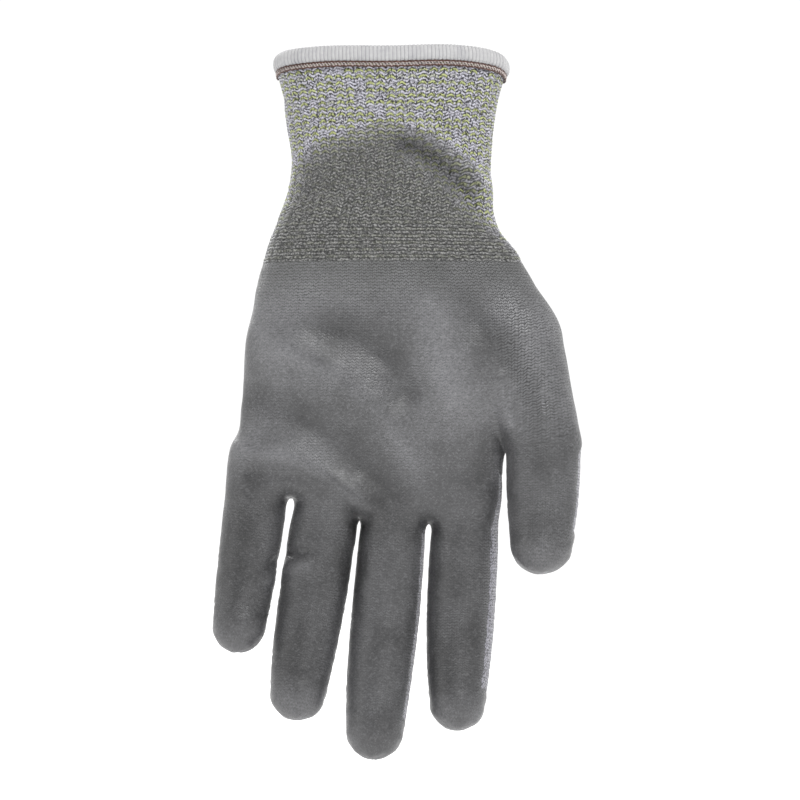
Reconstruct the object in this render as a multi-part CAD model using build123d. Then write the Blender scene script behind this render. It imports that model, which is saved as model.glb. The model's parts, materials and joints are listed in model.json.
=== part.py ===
"""A left-hand cut resistant work glove, drawn as it hangs on a hand with the fingers down.

+Z is up, out of the cuff's mouth. -Y is the palm side, +Y the back of the hand, +X the thumb side.
The origin is the centre of the cuff's mouth, where the hand goes in.

The real liner is one seamless knit. It is divided here only where the glove folds, so that each
length between two folds is a body of its own. A fold works like this: the length nearer the wrist
ends in a short round sleeve centred on the fold's axis, and the next length turns about it. Both
walls are cut back to a V on the palm side, to leave room for the fold, and the sleeve closes it.
All sizes are in millimetres and all angles in degrees.
"""

from build123d import *
from dataclasses import dataclass
from math import cos, radians, sin, tan
import os

# Fabric
KNIT = 1.0  # wall of the liner in the hand and the fingers
CUFF_KNIT = 1.2  # wall of the ribbed cuff
COAT = 0.4  # the dipped coating on the palm side
SLEEVE = 0.8  # wall of the sleeve inside a fold
GUSSET_WALL = 0.7  # wall of the gussets that carry the sleeve further in front and behind
GUSSET_ANGLE = 40.0  # how far they reach round the fold's axis, each way from its middle
PLAY = 0.3  # between a sleeve and the length that turns about it
EDGE_GAP = 0.22  # each wall stops this far from its fold's plane
SLEEVE_ROOT = 6.0  # a sleeve's wall starts this far before its fold
REACH = 70.0  # half the size of the shapes that cut the walls
COAT_SIDE = 1.0  # the coating goes this far past the middle of a finger's side
COAT_TIP = 5.0  # and covers the last part of a fingertip all round

# Cuff: height below the mouth, width across, depth front to back
HEM_HEIGHT, HEM_WIDTH, HEM_DEPTH, HEM_WALL, HEM_ROUND = 5.2, 79.6, 50.4, 2.4, 1.1
CUFF_SECTIONS = [(5.2, 77.2, 48.6), (15, 75.6, 47.2), (30, 70.6, 43.6), (44, 68.4, 42.0)]
WRIST_SECTIONS = [(44, 68.4, 42.0, 0), (58, 73, 42, -0.6), (72.6, 86.4, 40, 0.6)]
STITCH_ROWS, STITCH_HEIGHT, STITCH_PROUD = (5.5, 6.7), 0.8, 0.6
ELASTIC_PITCH, ELASTIC_SIDE = 4.0, 0.7
CUFF_ELASTIC, WRIST_ELASTIC = (12.0, 32.0), (58.0, 70.0)  # first and last ring
ARC_RADIUS, ARC_TOP = 40.0, 24.0  # the round upper edge of the coating on the cuff
WRIST_RANGE = (-40.0, 40.0)

# Palm: height below the mouth, width, depth, middle across
PALM_SECTIONS = [
    (72.6, 86.4, 40, 0.6),
    (90, 99.0, 38.5, 3.2),
    (108, 109.0, 35.5, 5.0),
    (140, 94, 28.5, -7.0),
]
PALM_END = (160.5, 94.5, 25.5, -9.0)
PALM_END_TILT = 7.6  # the row of finger roots slopes down towards the index finger
END_WALL = 1.2
STUB_LENGTH = 24.0  # a finger's root reaches this far back into the palm
ROOM_BESIDE = 1.3  # beside a finger, where the palm is cut back for its fold

THUMB_ROOT, THUMB_ROOT_RADIUS = (43.0, -1.5, -104.0), 15.6  # where the thumb leaves the palm


@dataclass
class Digit:
    """One finger: its first fold, its lean towards the little finger, the turn of its palm side
    towards the little finger, the lengths from fold to fold and to the tip, the radius at each
    fold and of the tip, the bend at rest and the range of each fold."""

    first_fold: tuple
    lean: float
    turn: float
    lengths: tuple
    radii: tuple
    rest: tuple
    ranges: tuple
    names: tuple = ("base", "middle", "tip")


BASE_RANGE, MIDDLE_RANGE, TIP_RANGE = (-12, 68), (-8, 78), (-7, 35)
RELAXED = (4, 8, 7)
DIGITS = {
    "index": Digit(
        (25.0, 0, -172.5), 2.9, 0, (22.0, 20.5, 20.8), (11.1, 10.9, 10.1, 8.8),
        RELAXED, (BASE_RANGE, MIDDLE_RANGE, TIP_RANGE),
    ),
    "middle": Digit(
        (1.0, 0, -172.5), 5.4, 0, (26.0, 24.0, 24.0), (10.9, 11.2, 10.3, 9.0),
        RELAXED, (BASE_RANGE, MIDDLE_RANGE, TIP_RANGE),
    ),
    "ring": Digit(
        (-23.3, 0, -170.0), 8.6, 0, (21.5, 20.5, 20.5), (10.9, 11.1, 10.1, 8.8),
        RELAXED, (BASE_RANGE, MIDDLE_RANGE, TIP_RANGE),
    ),
    "little": Digit(
        (-45.9, 0, -162.0), 7.2, 0, (16.5, 15.0, 17.0), (10.1, 9.8, 9.0, 8.3),
        RELAXED, ((-12, 65), (-8, 66), (-7, 30)),
    ),
    "thumb": Digit(
        (52.6, -5, -137.7), 0.0, 12, (18.5, 26.5), (12.5, 11.7, 10.2),
        (6, 8), ((-10, 40), (-8, 50)), ("base", "tip"),
    ),
}


# ---------------------------------------------------------------- frames


def local_frame(origin, distal, palmar):
    """A plane with z towards the fingertip, y out of the palm side, and x across."""
    return Plane(origin=origin, x_dir=palmar.cross(distal), z_dir=distal)


def bent(frame, angle, forward=0.0):
    """frame moved forward along its own z, then flexed by angle towards its own y."""
    distal, palmar = frame.z_dir, frame.y_dir
    c, s = cos(radians(angle)), sin(radians(angle))
    return local_frame(
        frame.origin + distal * forward, distal * c + palmar * s, palmar * c - distal * s
    )


WRIST_FRAME = local_frame(Vector(0, 0, -CUFF_SECTIONS[-1][0]), Vector(0, 0, -1), Vector(0, -1, 0))


def root_frame(digit):
    """The frame at a digit's first fold, before the bend that it has at rest."""
    lean, turn = radians(digit.lean), radians(digit.turn)
    distal = Vector(-sin(lean), 0, -cos(lean))
    palmar = Vector(-sin(turn), -cos(turn), 0)
    palmar = (palmar - distal * palmar.dot(distal)).normalized()
    return local_frame(Vector(*digit.first_fold), distal, palmar)


def digit_frames(digit):
    """One frame for each length of a digit, at the fold where it starts, as it rests."""
    frames = [bent(root_frame(digit), digit.rest[0])]
    for length, rest in zip(digit.lengths, digit.rest[1:]):
        frames.append(bent(frames[-1], rest, length))
    return frames


# ---------------------------------------------------------------- simple shapes


def taper(r0, r1, z0, z1):
    """A round bar along z from z0 to z1, of radius r0 there and r1 here."""
    align = (Align.CENTER, Align.CENTER, Align.MIN)
    if abs(r0 - r1) < 1e-6:
        return Pos(0, 0, z0) * Cylinder(r0, z1 - z0, align=align)
    return Pos(0, 0, z0) * Cone(r0, r1, z1 - z0, align=align)


def slot_at(height, width, depth, middle=0.0, grow=0.0, tilt=0.0):
    """A flat round-ended outline, height below the cuff's mouth. grow widens it all round."""
    place = Pos(middle, 0, -height) * Rot(0, tilt, 0)
    return place * SlotOverall(width + 2 * grow, depth + 2 * grow)


def lofted(sections, grow=0.0):
    return loft([slot_at(*s[:3], *(s[3:4] or (0,)), grow=grow) for s in sections], ruled=True)


def size_at(sections, height):
    """Width, depth and middle of a lofted run of sections, at a height between two of them."""
    for upper, lower in zip(sections, sections[1:]):
        if upper[0] <= height <= lower[0]:
            t = (height - upper[0]) / (lower[0] - upper[0])
            a, b = (upper + (0,))[1:4], (lower + (0,))[1:4]
            return tuple(p + (q - p) * t for p, q in zip(a, b))
    raise ValueError(f"no section at {height}")


def band(top, height, width, depth, middle, wall):
    """A flat ring that hangs from top, with its wall outside the given outline."""
    outer = slot_at(top + height, width, depth, middle, grow=wall)
    inner = slot_at(top + height, width, depth, middle)
    return extrude(outer - inner, amount=height, dir=(0, 0, 1))


def plate(points, reach=REACH):
    """A thick plate whose outline is given in y and z."""
    return extrude(Plane.YZ * Polygon(*points, align=None), amount=reach, both=True)


def gussets_of(outer, inner, reach=REACH):
    """The parts of a hollow shape that lie near the fold's plane, in front of it and behind."""
    spread = reach * tan(radians(GUSSET_ANGLE))
    front = plate([(0, 0), (reach, spread), (reach, -spread)], reach)
    back = plate([(0, 0), (-reach, spread), (-reach, -spread)], reach)
    return (outer - inner) & (front + back)


def fold_angles(rest, limits):
    """How far each wall leans back from its fold's plane, on the palm side and on the back."""
    return (limits[1] + rest) / 2, max(0.0, -limits[0] - rest) / 2


def beyond_fold(rest, limits, reach=REACH):
    """What the length after a fold may fill, in that length's frame at the fold."""
    front, back = (reach * tan(radians(a)) for a in fold_angles(rest, limits))
    return plate(
        [
            (0, EDGE_GAP),
            (reach, EDGE_GAP + front),
            (reach, 3 * reach),
            (-reach, 3 * reach),
            (-reach, EDGE_GAP + back),
        ],
        reach,
    )


def before_fold(rest, limits, reach=REACH):
    """What the length before a fold may fill, in its own frame at the fold."""
    return Rot(0, 0, 180) * Rot(180, 0, 0) * mirror(
        beyond_fold(rest, limits, reach), about=Plane.YZ
    )


# ---------------------------------------------------------------- digits


def sleeve_radii(radius, wall=KNIT):
    """The outside and the inside of the sleeve in a fold where the liner has this radius."""
    outside = radius - wall - PLAY
    return outside, outside - SLEEVE


def gussets(radius):
    """The gussets in a fold of a digit, in the frame of the fold."""
    outer = sleeve_radii(radius)[0]
    return gussets_of(Sphere(outer), Sphere(outer - GUSSET_WALL))


def length_outside(radii, length, last, grow=0.0):
    """The outside of one length of a digit, from its fold."""
    r0, r1 = (r + grow for r in radii)
    if not last:
        return taper(r0, r1, 0, length)
    centre = length - radii[1]
    return taper(r0, r1, 0, centre) + Pos(0, 0, centre) * Sphere(r1)


def length_inside(radii, length, last):
    """The hollow of one length of a digit. It is narrower in the sleeve at the next fold."""
    r0, r1 = (r - KNIT for r in radii)
    if last:
        centre = length - radii[1]
        hollow = taper(r0, r1, 0, centre) + Pos(0, 0, centre) * Sphere(r1)
    else:
        hollow = taper(r0, r1, 0, length - SLEEVE_ROOT)
        hollow += taper(*[sleeve_radii(radii[1])[1]] * 2, length - SLEEVE_ROOT, length + REACH)
    return hollow + taper(r0, r0, -REACH / 4, 0)


def digit_length(digit, n):
    """The liner and the coating of a digit's length n, in its own frame."""
    last = n == len(digit.lengths) - 1
    length, radii = digit.lengths[n], digit.radii[n : n + 2]
    fold = digit.rest[n], digit.ranges[n]
    outside = length_outside(radii, length, last)
    room = beyond_fold(*fold)
    coated = Pos(0, REACH / 2 - COAT_SIDE, 0) * Box(REACH, REACH, 4 * REACH)
    if last:
        coated += Pos(0, 0, length - COAT_TIP + REACH / 2) * Box(REACH, REACH, REACH)
    else:
        room &= Pos(0, 0, length) * before_fold(digit.rest[n + 1], digit.ranges[n + 1])
    liner = outside & room
    if not last:
        liner += Pos(0, 0, length) * Sphere(sleeve_radii(radii[1])[0])
    liner -= length_inside(radii, length, last)
    if not last:
        liner += Pos(0, 0, length) * gussets(radii[1])
    coating = (length_outside(radii, length, last, COAT) - outside) & room & coated
    return liner, coating


# ---------------------------------------------------------------- palm


def stub(digit, grow=0.0):
    """The root of a digit in the palm, in the digit's root frame."""
    r = digit.radii[0] + grow
    return taper(r, r, -STUB_LENGTH, 0)


def thumb_root(grow=0.0):
    """The swelling of the palm that runs down into the thumb."""
    thumb = DIGITS["thumb"]
    start, end = Vector(*THUMB_ROOT), Vector(*thumb.first_fold)
    along = Plane(origin=start, z_dir=end - start)
    length = (end - start).length
    root = along * taper(THUMB_ROOT_RADIUS + grow, thumb.radii[0] + grow, 0, length)
    ball = Pos(*thumb.first_fold) * Sphere(thumb.radii[0] + grow)
    return root + ball + Pos(*THUMB_ROOT) * Sphere(THUMB_ROOT_RADIUS + grow)


def palm_core(grow=0.0, end=0.0):
    """The palm without its roots. end shortens it at the row of finger roots."""
    sections = [slot_at(*s, grow=grow) for s in PALM_SECTIONS]
    height, width, depth, middle = PALM_END
    last = slot_at(height - end, width, depth, middle, grow=grow, tilt=PALM_END_TILT)
    return loft([*sections, last], ruled=True)


def palm_outside(grow=0.0):
    whole = palm_core(grow) + thumb_root(grow)
    for name, digit in DIGITS.items():
        if name != "thumb":
            whole += root_frame(digit) * stub(digit, grow)
    return whole & below_wrist_seam()


def below_wrist_seam():
    """Everything below the line where the ribbed cuff ends."""
    return Pos(0, 0, -PALM_SECTIONS[0][0] - 2 * REACH) * Box(6 * REACH, 6 * REACH, 4 * REACH)


def fold_room(digit):
    """What the palm loses so that a digit's first length can fold, in the digit's root frame."""
    width = digit.radii[0] + ROOM_BESIDE
    column = Pos(0, 0, REACH / 2) * Box(2 * width, REACH, 2 * REACH)
    return column - before_fold(digit.rest[0], digit.ranges[0])


def palm_parts():
    outside = palm_outside()
    liner, coating = outside, palm_outside(COAT) - outside
    hollow = palm_core(-KNIT, END_WALL)
    hollow += thumb_root(-KNIT) & below_wrist_seam()
    coating &= Pos(0, -REACH, 0) * Box(6 * REACH, 2 * REACH, 8 * REACH)
    sleeves, folds = [], []
    for digit in DIGITS.values():
        frame, radius = root_frame(digit), digit.radii[0]
        outer, inner = sleeve_radii(radius)
        liner -= frame * fold_room(digit)
        coating -= frame * fold_room(digit)
        sleeves.append(frame * Sphere(outer))
        folds.append(frame * gussets(radius))
        hollow += frame * taper(radius - KNIT, radius - KNIT, -STUB_LENGTH, -SLEEVE_ROOT)
        hollow += frame * taper(inner, inner, -SLEEVE_ROOT - 1, REACH / 2)
    thumb = DIGITS["thumb"]
    keep_root_wall = root_frame(thumb) * taper(thumb.radii[0] + 1, thumb.radii[0] + 1, -SLEEVE_ROOT, REACH)
    inner = sleeve_radii(thumb.radii[0])[1]
    hollow -= keep_root_wall - root_frame(thumb) * taper(inner, inner, -STUB_LENGTH, REACH)
    liner = liner + sleeves - hollow + folds
    return largest(liner), largest(coating)


def largest(shape):
    """The largest solid of a shape, without the slivers that cutting leaves beside it."""
    return max(shape.solids(), key=lambda solid: solid.volume)


# ---------------------------------------------------------------- cuff


def capsule(width, depth, shrink):
    """A round-ended bar across the wrist, which keeps its shape as the wrist folds about it."""
    radius, offset = depth / 2 - shrink, (width - depth) / 2
    bar = Rot(0, 90, 0) * Cylinder(radius, 2 * offset)
    return bar + Pos(offset, 0, 0) * Sphere(radius) + Pos(-offset, 0, 0) * Sphere(radius)


def cuff_parts():
    """The ribbed cuff above the wrist's fold, and the coating on it."""
    height, width, depth = CUFF_SECTIONS[-1]
    room = WRIST_FRAME * before_fold(0, WRIST_RANGE, 3 * REACH)
    outside = lofted(CUFF_SECTIONS)
    shrink = CUFF_KNIT + PLAY
    sleeve = Pos(0, 0, -height) * capsule(width, depth, shrink)
    mouth = slot_at(height, width, depth, grow=-shrink - SLEEVE)
    hollow = lofted(CUFF_SECTIONS, -CUFF_KNIT)
    hollow &= Pos(0, 0, -height + SLEEVE_ROOT + REACH) * Box(4 * REACH, 4 * REACH, 2 * REACH)
    hollow += extrude(mouth, amount=REACH / 2, both=True) & lofted(CUFF_SECTIONS, -CUFF_KNIT)
    hollow += extrude(mouth, amount=REACH, dir=(0, 0, -1))
    inner = capsule(width, depth, shrink + GUSSET_WALL)
    folds = gussets_of(capsule(width, depth, shrink), inner)
    knit = (outside & room) + sleeve - hollow + Pos(0, 0, -height) * folds
    coating = (lofted(CUFF_SECTIONS, COAT) - outside) & room & coated_arc()
    return largest(knit), largest(coating)


def coated_arc():
    """The palm side of the cuff, below the round upper edge of the coating."""
    arc = Rot(90, 0, 0) * Cylinder(ARC_RADIUS, REACH, align=(Align.CENTER, Align.CENTER, Align.MIN))
    return Pos(0, 0, -ARC_TOP - ARC_RADIUS) * arc


def wrist_parts():
    """The ribbed cuff below the wrist's fold, and the coating on it."""
    room = WRIST_FRAME * beyond_fold(0, WRIST_RANGE, 3 * REACH)
    outside = lofted(WRIST_SECTIONS)
    knit = (outside & room) - lofted(WRIST_SECTIONS, -CUFF_KNIT)
    front = Pos(0, -REACH, 0) * Box(6 * REACH, 2 * REACH, 8 * REACH)
    return knit, (lofted(WRIST_SECTIONS, COAT) - outside) & room & front


def hem():
    """The white overlocked edge: a thick soft ring, rounded along its top."""
    ring = band(0, HEM_HEIGHT, HEM_WIDTH - 2 * HEM_WALL, HEM_DEPTH - 2 * HEM_WALL, 0, HEM_WALL)
    return fillet(ring.faces().sort_by(Axis.Z)[-1].edges(), HEM_ROUND)


def stitch_rows():
    """The two rows of coloured thread that hold the hem, on the outside of the cuff."""
    rows = []
    for top in STITCH_ROWS:
        width, depth, middle = size_at(CUFF_SECTIONS, top)
        rows.append(band(top, STITCH_HEIGHT, width + 0.04, depth + 0.04, middle, STITCH_PROUD))
    return Compound(rows)


def elastic_rings(sections, first, last):
    """The elastic threads laid into the rib, on the inside of the cuff."""
    rings = []
    for n in range(int((last - first) / ELASTIC_PITCH) + 1):
        top = first + n * ELASTIC_PITCH
        sizes = [size_at(sections, top + side) for side in (0, ELASTIC_SIDE)]
        width, depth = (min(s[k] for s in sizes) - 0.1 - 2 * (CUFF_KNIT + ELASTIC_SIDE) for k in (0, 1))
        rings.append(band(top, ELASTIC_SIDE, width, depth, sizes[0][2], ELASTIC_SIDE))
    return Compound(rings)


# ---------------------------------------------------------------- all parts


def glove():
    """Every node of the glove, by name."""
    parts = {"hem_overlock": hem(), "hem_stitching": stitch_rows()}
    parts["cuff_knit"], parts["cuff_coating"] = cuff_parts()
    parts["cuff_elastic"] = elastic_rings(CUFF_SECTIONS, *CUFF_ELASTIC)
    parts["wrist_knit"], parts["wrist_coating"] = wrist_parts()
    parts["wrist_elastic"] = elastic_rings(WRIST_SECTIONS, *WRIST_ELASTIC)
    parts["palm_liner"], parts["palm_coating"] = palm_parts()
    for name, digit in DIGITS.items():
        for n, frame in enumerate(digit_frames(digit)):
            liner, coating = digit_length(digit, n)
            parts[f"{name}_{digit.names[n]}_liner"] = frame * liner
            parts[f"{name}_{digit.names[n]}_coating"] = frame * coating
    return parts


def main():
    os.makedirs("parts", exist_ok=True)
    for name, part in glove().items():
        export_step(part, f"parts/{name}.step")


if __name__ == "__main__":
    main()
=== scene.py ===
"""Looks of a left-hand cut resistant glove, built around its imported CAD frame.

The glove is two tubular skins. The ribbed cuff is a grid that follows its knit, with the loops as
real relief. The hand is one closed surface found from round bars and a flattened palm that melt
into each other, then pushed in and out by folds. Each skin is given a thickness and cut between
the folds of the fingers, so that every piece bends across one joint. The dipped film is a thin
shell of its own over the knit. Lengths are in millimetres until a mesh is made.
"""

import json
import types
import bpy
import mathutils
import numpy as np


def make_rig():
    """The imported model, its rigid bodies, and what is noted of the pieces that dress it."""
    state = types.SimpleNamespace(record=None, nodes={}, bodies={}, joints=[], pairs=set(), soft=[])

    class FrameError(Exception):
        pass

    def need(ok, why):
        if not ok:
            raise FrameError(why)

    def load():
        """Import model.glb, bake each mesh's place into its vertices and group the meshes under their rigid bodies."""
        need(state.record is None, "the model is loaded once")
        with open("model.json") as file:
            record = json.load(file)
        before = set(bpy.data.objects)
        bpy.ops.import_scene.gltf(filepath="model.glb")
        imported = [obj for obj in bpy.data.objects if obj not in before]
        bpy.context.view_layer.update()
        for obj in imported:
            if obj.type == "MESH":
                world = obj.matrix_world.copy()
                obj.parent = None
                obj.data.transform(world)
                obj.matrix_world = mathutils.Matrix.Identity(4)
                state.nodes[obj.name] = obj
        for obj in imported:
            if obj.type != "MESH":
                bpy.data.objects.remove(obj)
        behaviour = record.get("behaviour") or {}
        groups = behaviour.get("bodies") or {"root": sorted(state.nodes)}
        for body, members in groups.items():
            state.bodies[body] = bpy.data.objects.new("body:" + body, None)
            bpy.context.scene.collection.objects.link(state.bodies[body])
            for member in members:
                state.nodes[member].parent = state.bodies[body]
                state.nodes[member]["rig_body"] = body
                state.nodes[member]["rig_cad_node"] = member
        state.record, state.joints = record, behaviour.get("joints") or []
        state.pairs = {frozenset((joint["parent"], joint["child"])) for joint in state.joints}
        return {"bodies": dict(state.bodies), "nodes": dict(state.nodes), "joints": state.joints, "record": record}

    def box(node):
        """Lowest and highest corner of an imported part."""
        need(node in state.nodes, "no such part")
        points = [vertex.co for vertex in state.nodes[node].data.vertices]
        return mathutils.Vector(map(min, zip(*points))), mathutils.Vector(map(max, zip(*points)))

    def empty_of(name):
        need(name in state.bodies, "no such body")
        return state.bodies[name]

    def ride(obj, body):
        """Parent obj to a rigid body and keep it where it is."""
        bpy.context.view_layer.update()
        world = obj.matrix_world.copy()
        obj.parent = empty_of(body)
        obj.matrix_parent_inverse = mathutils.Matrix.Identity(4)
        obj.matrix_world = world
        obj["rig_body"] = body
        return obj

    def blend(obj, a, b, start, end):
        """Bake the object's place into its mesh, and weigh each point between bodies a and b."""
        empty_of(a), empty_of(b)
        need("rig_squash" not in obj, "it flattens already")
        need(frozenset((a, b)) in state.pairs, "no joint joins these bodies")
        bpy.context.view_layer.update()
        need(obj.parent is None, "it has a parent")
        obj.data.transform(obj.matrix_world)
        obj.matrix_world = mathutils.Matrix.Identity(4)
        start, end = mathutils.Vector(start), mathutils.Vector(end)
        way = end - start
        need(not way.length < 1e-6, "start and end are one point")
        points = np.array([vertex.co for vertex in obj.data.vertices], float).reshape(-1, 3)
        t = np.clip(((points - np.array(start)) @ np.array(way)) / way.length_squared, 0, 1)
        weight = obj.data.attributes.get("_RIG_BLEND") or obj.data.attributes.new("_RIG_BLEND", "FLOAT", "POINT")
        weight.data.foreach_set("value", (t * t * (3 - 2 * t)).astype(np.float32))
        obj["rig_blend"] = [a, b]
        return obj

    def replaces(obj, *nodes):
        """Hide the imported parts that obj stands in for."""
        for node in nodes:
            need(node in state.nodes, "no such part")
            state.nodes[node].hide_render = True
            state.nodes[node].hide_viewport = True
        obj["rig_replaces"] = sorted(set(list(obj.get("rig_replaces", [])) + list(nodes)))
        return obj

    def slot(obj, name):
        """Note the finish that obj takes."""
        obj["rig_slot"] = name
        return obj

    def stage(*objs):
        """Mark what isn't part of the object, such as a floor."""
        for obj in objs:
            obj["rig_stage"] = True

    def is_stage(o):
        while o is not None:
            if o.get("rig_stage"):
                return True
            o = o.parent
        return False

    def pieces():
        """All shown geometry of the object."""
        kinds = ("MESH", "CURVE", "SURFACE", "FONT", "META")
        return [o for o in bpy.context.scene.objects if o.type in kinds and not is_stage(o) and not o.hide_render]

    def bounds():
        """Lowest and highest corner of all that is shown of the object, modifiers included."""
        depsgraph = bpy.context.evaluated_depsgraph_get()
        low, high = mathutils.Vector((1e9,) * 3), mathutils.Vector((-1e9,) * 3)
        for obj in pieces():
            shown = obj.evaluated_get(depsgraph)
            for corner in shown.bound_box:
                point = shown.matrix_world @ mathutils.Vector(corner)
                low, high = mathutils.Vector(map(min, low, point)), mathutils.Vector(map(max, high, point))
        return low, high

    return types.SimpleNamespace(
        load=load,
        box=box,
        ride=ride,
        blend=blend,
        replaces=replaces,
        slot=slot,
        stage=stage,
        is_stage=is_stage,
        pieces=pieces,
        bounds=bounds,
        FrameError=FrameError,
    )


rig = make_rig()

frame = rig.load()

import json
from math import cos, pi, radians, sin

import bpy
import numpy as np
from mathutils import Vector

MM = 0.001
cad_bounds = [[float(c) for c in corner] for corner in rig.bounds()]
JOINTS = {joint["name"]: joint for joint in frame["joints"]}

# Fabric
KNIT_WALL = 1.0
FILM_WALL, RIB_FILM_WALL = 0.28, 0.10  # how much thicker the film is inside its edge
FILM_EDGE, RIB_FILM_EDGE = 0.05, 0.03  # height of the film over the knit at its edge
FILM_CLEAR, RIB_FILM_CLEAR = 0.02, 0.015  # gap between the knit and the film's inside
FILM_FADE = 2.2  # the film reaches its full thickness over this width
HAND_STEP = 0.9  # size of the hand's faces
RIBS = 50  # ribs round the cuff
RIB_COURSE = 1.13  # height of a row of yarn in the cuff; every second row is green
HAND_WALES = 150  # columns of stitches round the palm
HAND_COURSE = 1.0  # height of a row of stitches on the hand
ROW_SOFTENING = 14  # rounds of averaging that spread the rows out where a digit bends
FINGER_WALES = 44  # columns of stitches round a finger
SEAM = 75.5  # the rib ends this far below the mouth

# The palm and the cuff: height below the mouth, half width, middle across, half depth
SECTIONS = np.array((
    (-4, 38.7, 0.3, 24.0), (4, 38.8, 0.3, 23.9), (11, 38.8, 0.4, 23.6), (19, 36.8, 0.4, 22.8),
    (27, 35.7, 0.1, 22.0), (35, 34.6, 0.3, 21.2), (42, 34.1, 0.3, 20.8), (50, 35.2, 0.1, 20.6),
    (58, 36.7, -1.0, 20.5), (64, 38.7, -1.2, 20.4), (72, 43.0, 0.3, 20.0), (81, 46.6, 1.5, 19.4),
    (92, 49.2, 2.1, 18.5), (100, 50.3, 1.7, 17.8), (108, 50.2, 0.8, 17.2), (117, 49.1, -0.9, 16.4),
    (125, 47.7, -3.4, 15.6), (133, 46.5, -5.4, 14.8), (141, 46.4, -7.2, 14.0), (154, 46.4, -9.0, 12.9),
    (170, 46.4, -10.6, 12.2),
))
ROUNDNESS = np.array(((0, 2.25), (72, 2.35), (110, 2.6), (170, 2.9)))  # 2 is an ellipse
PALM_END = np.array(((-60, -152.5), (-34, -155.0), (-11, -161.6), (13, -163.6), (42, -162.6)))


# ---------------------------------------------------------------- small sums


def turned(vector, axis, degrees):
    """vector turned about axis by the right-hand rule."""
    c, s = cos(radians(degrees)), sin(radians(degrees))
    return vector * c + np.cross(axis, vector) * s + axis * (axis @ vector) * (1 - c)


def unit(v):
    return v / np.maximum(np.linalg.norm(v, axis=-1, keepdims=True), 1e-12)


def smoothstep(low, high, x):
    t = np.clip((x - low) / (high - low), 0, 1)
    return t * t * (3 - 2 * t)


def smooth_curve(xs, ys, x):
    """A smooth curve through the points xs, ys, with no overshoot between level points."""
    slope = np.gradient(ys, xs)
    x = np.clip(x, xs[0], xs[-1])
    i = np.clip(np.searchsorted(xs, x) - 1, 0, len(xs) - 2)
    h = xs[i + 1] - xs[i]
    t = (x - xs[i]) / h
    a, b = 2 * t**3 - 3 * t**2 + 1, t**3 - 2 * t**2 + t
    return a * ys[i] + b * h * slope[i] + (1 - a) * ys[i + 1] + (t**3 - t**2) * h * slope[i + 1]


def smooth_min(a, b, melt):
    h = np.clip(0.5 + 0.5 * (b - a) / melt, 0, 1)
    return b + (a - b) * h - melt * h * (1 - h)


def lattice(ix, iy, iz, seed):
    """A repeatable random number from 0 to 1 for each whole-number place."""
    n = (ix * 73856093) ^ (iy * 19349663) ^ (iz * 83492791) ^ (seed * 2654435)
    n = (n ^ (n >> 13)) * 1274126177 & 0x7FFFFFFF
    return ((n ^ (n >> 16)) & 0xFFFF) / 65535.0


def noise(p, size, seed=1):
    """Smooth noise from -1 to 1, with lumps of about this size, along x, y and z."""
    q = p / np.asarray(size, float)
    base = np.floor(q).astype(np.int64)
    f = q - base
    f = f * f * (3 - 2 * f)
    total = 0
    for corner in range(8):
        d = np.array([corner & 1, corner >> 1 & 1, corner >> 2])
        weight = np.prod(np.where(d, f, 1 - f), axis=1)
        total = total + weight * lattice(*(base + d).T, seed)
    return total * 2 - 1


# ---------------------------------------------------------------- the shape of the hand


class Digit:
    """A finger or the thumb: the bodies it bends, the radius at each pivot and at the tip, where
    it is clear of its neighbours, and how far round from its middle the film reaches."""

    def __init__(self, name, joints, radii, tip_bend, root, clear, film, nudge, trim):
        self.name, self.radii, self.clear, self.film = name, radii, clear, film
        self.bodies = [f"{name}_{joint}" for joint in joints]
        hinges = [JOINTS[f"{body}_bend"] for body in self.bodies]
        pivots = [np.array(hinge["pos_m"], float) / MM for hinge in hinges]
        self.hinge = np.array(hinges[0]["axis"], float)
        along = turned(unit(pivots[-1] - pivots[-2]), self.hinge, tip_bend)
        low = np.array(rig.box(f"{self.bodies[-1]}_coating")[0], float) / MM
        self.tip = pivots[-1] + along * (low[2] + trim + radii[-1] - pivots[-1][2]) / along[2]
        self.pivots = pivots
        self.first = unit(pivots[1] - pivots[0])
        if np.ndim(root[0]):
            start, start_radius = np.array(root[0], float), root[1]
        else:
            start, start_radius = pivots[0] - self.first * root[0], root[1]
        self.points = [p + np.array((nudge, 0, 0)) for p in (start, *pivots, self.tip)]
        self.radii_at = [start_radius, *radii]
        self.ways = [unit(b - a) for a, b in zip(self.points, self.points[1:])]
        lengths = [np.linalg.norm(b - a) for a, b in zip(self.points, self.points[1:])]
        self.offsets = np.cumsum([-lengths[0], *lengths])[: len(lengths)]
        self.lengths = lengths
        self.total = self.offsets[-1] + lengths[-1] + radii[-1]

    def distance(self, p):
        return np.min(
            [
                round_bar(p, a, b, ra, rb)
                for a, b, ra, rb in zip(self.points, self.points[1:], self.radii_at, self.radii_at[1:])
            ],
            axis=0,
        )

    def along_and_round(self, p):
        """How far along the digit from its first pivot, and the angle round it from the middle of
        the palm side, positive towards the thumb's side."""
        best = np.full(len(p), np.inf)
        along, angle = np.zeros(len(p)), np.zeros(len(p))
        last = len(self.lengths) - 1
        for n, (a, way, length) in enumerate(zip(self.points, self.ways, self.lengths)):
            w = p - a
            t = w @ way
            held = np.clip(t, 0 if n else -np.inf, np.inf if n == last else length)
            off = np.linalg.norm(w - np.clip(t, 0, length)[:, None] * way, axis=1)
            palm_side = unit(np.cross(self.hinge, way))
            across = -self.hinge
            closer = off < best - 1e-9
            best = np.where(closer, off, best)
            along = np.where(closer, self.offsets[n] + held, along)
            angle = np.where(closer, np.arctan2(w @ across, w @ palm_side), angle)
        return along, angle


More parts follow.
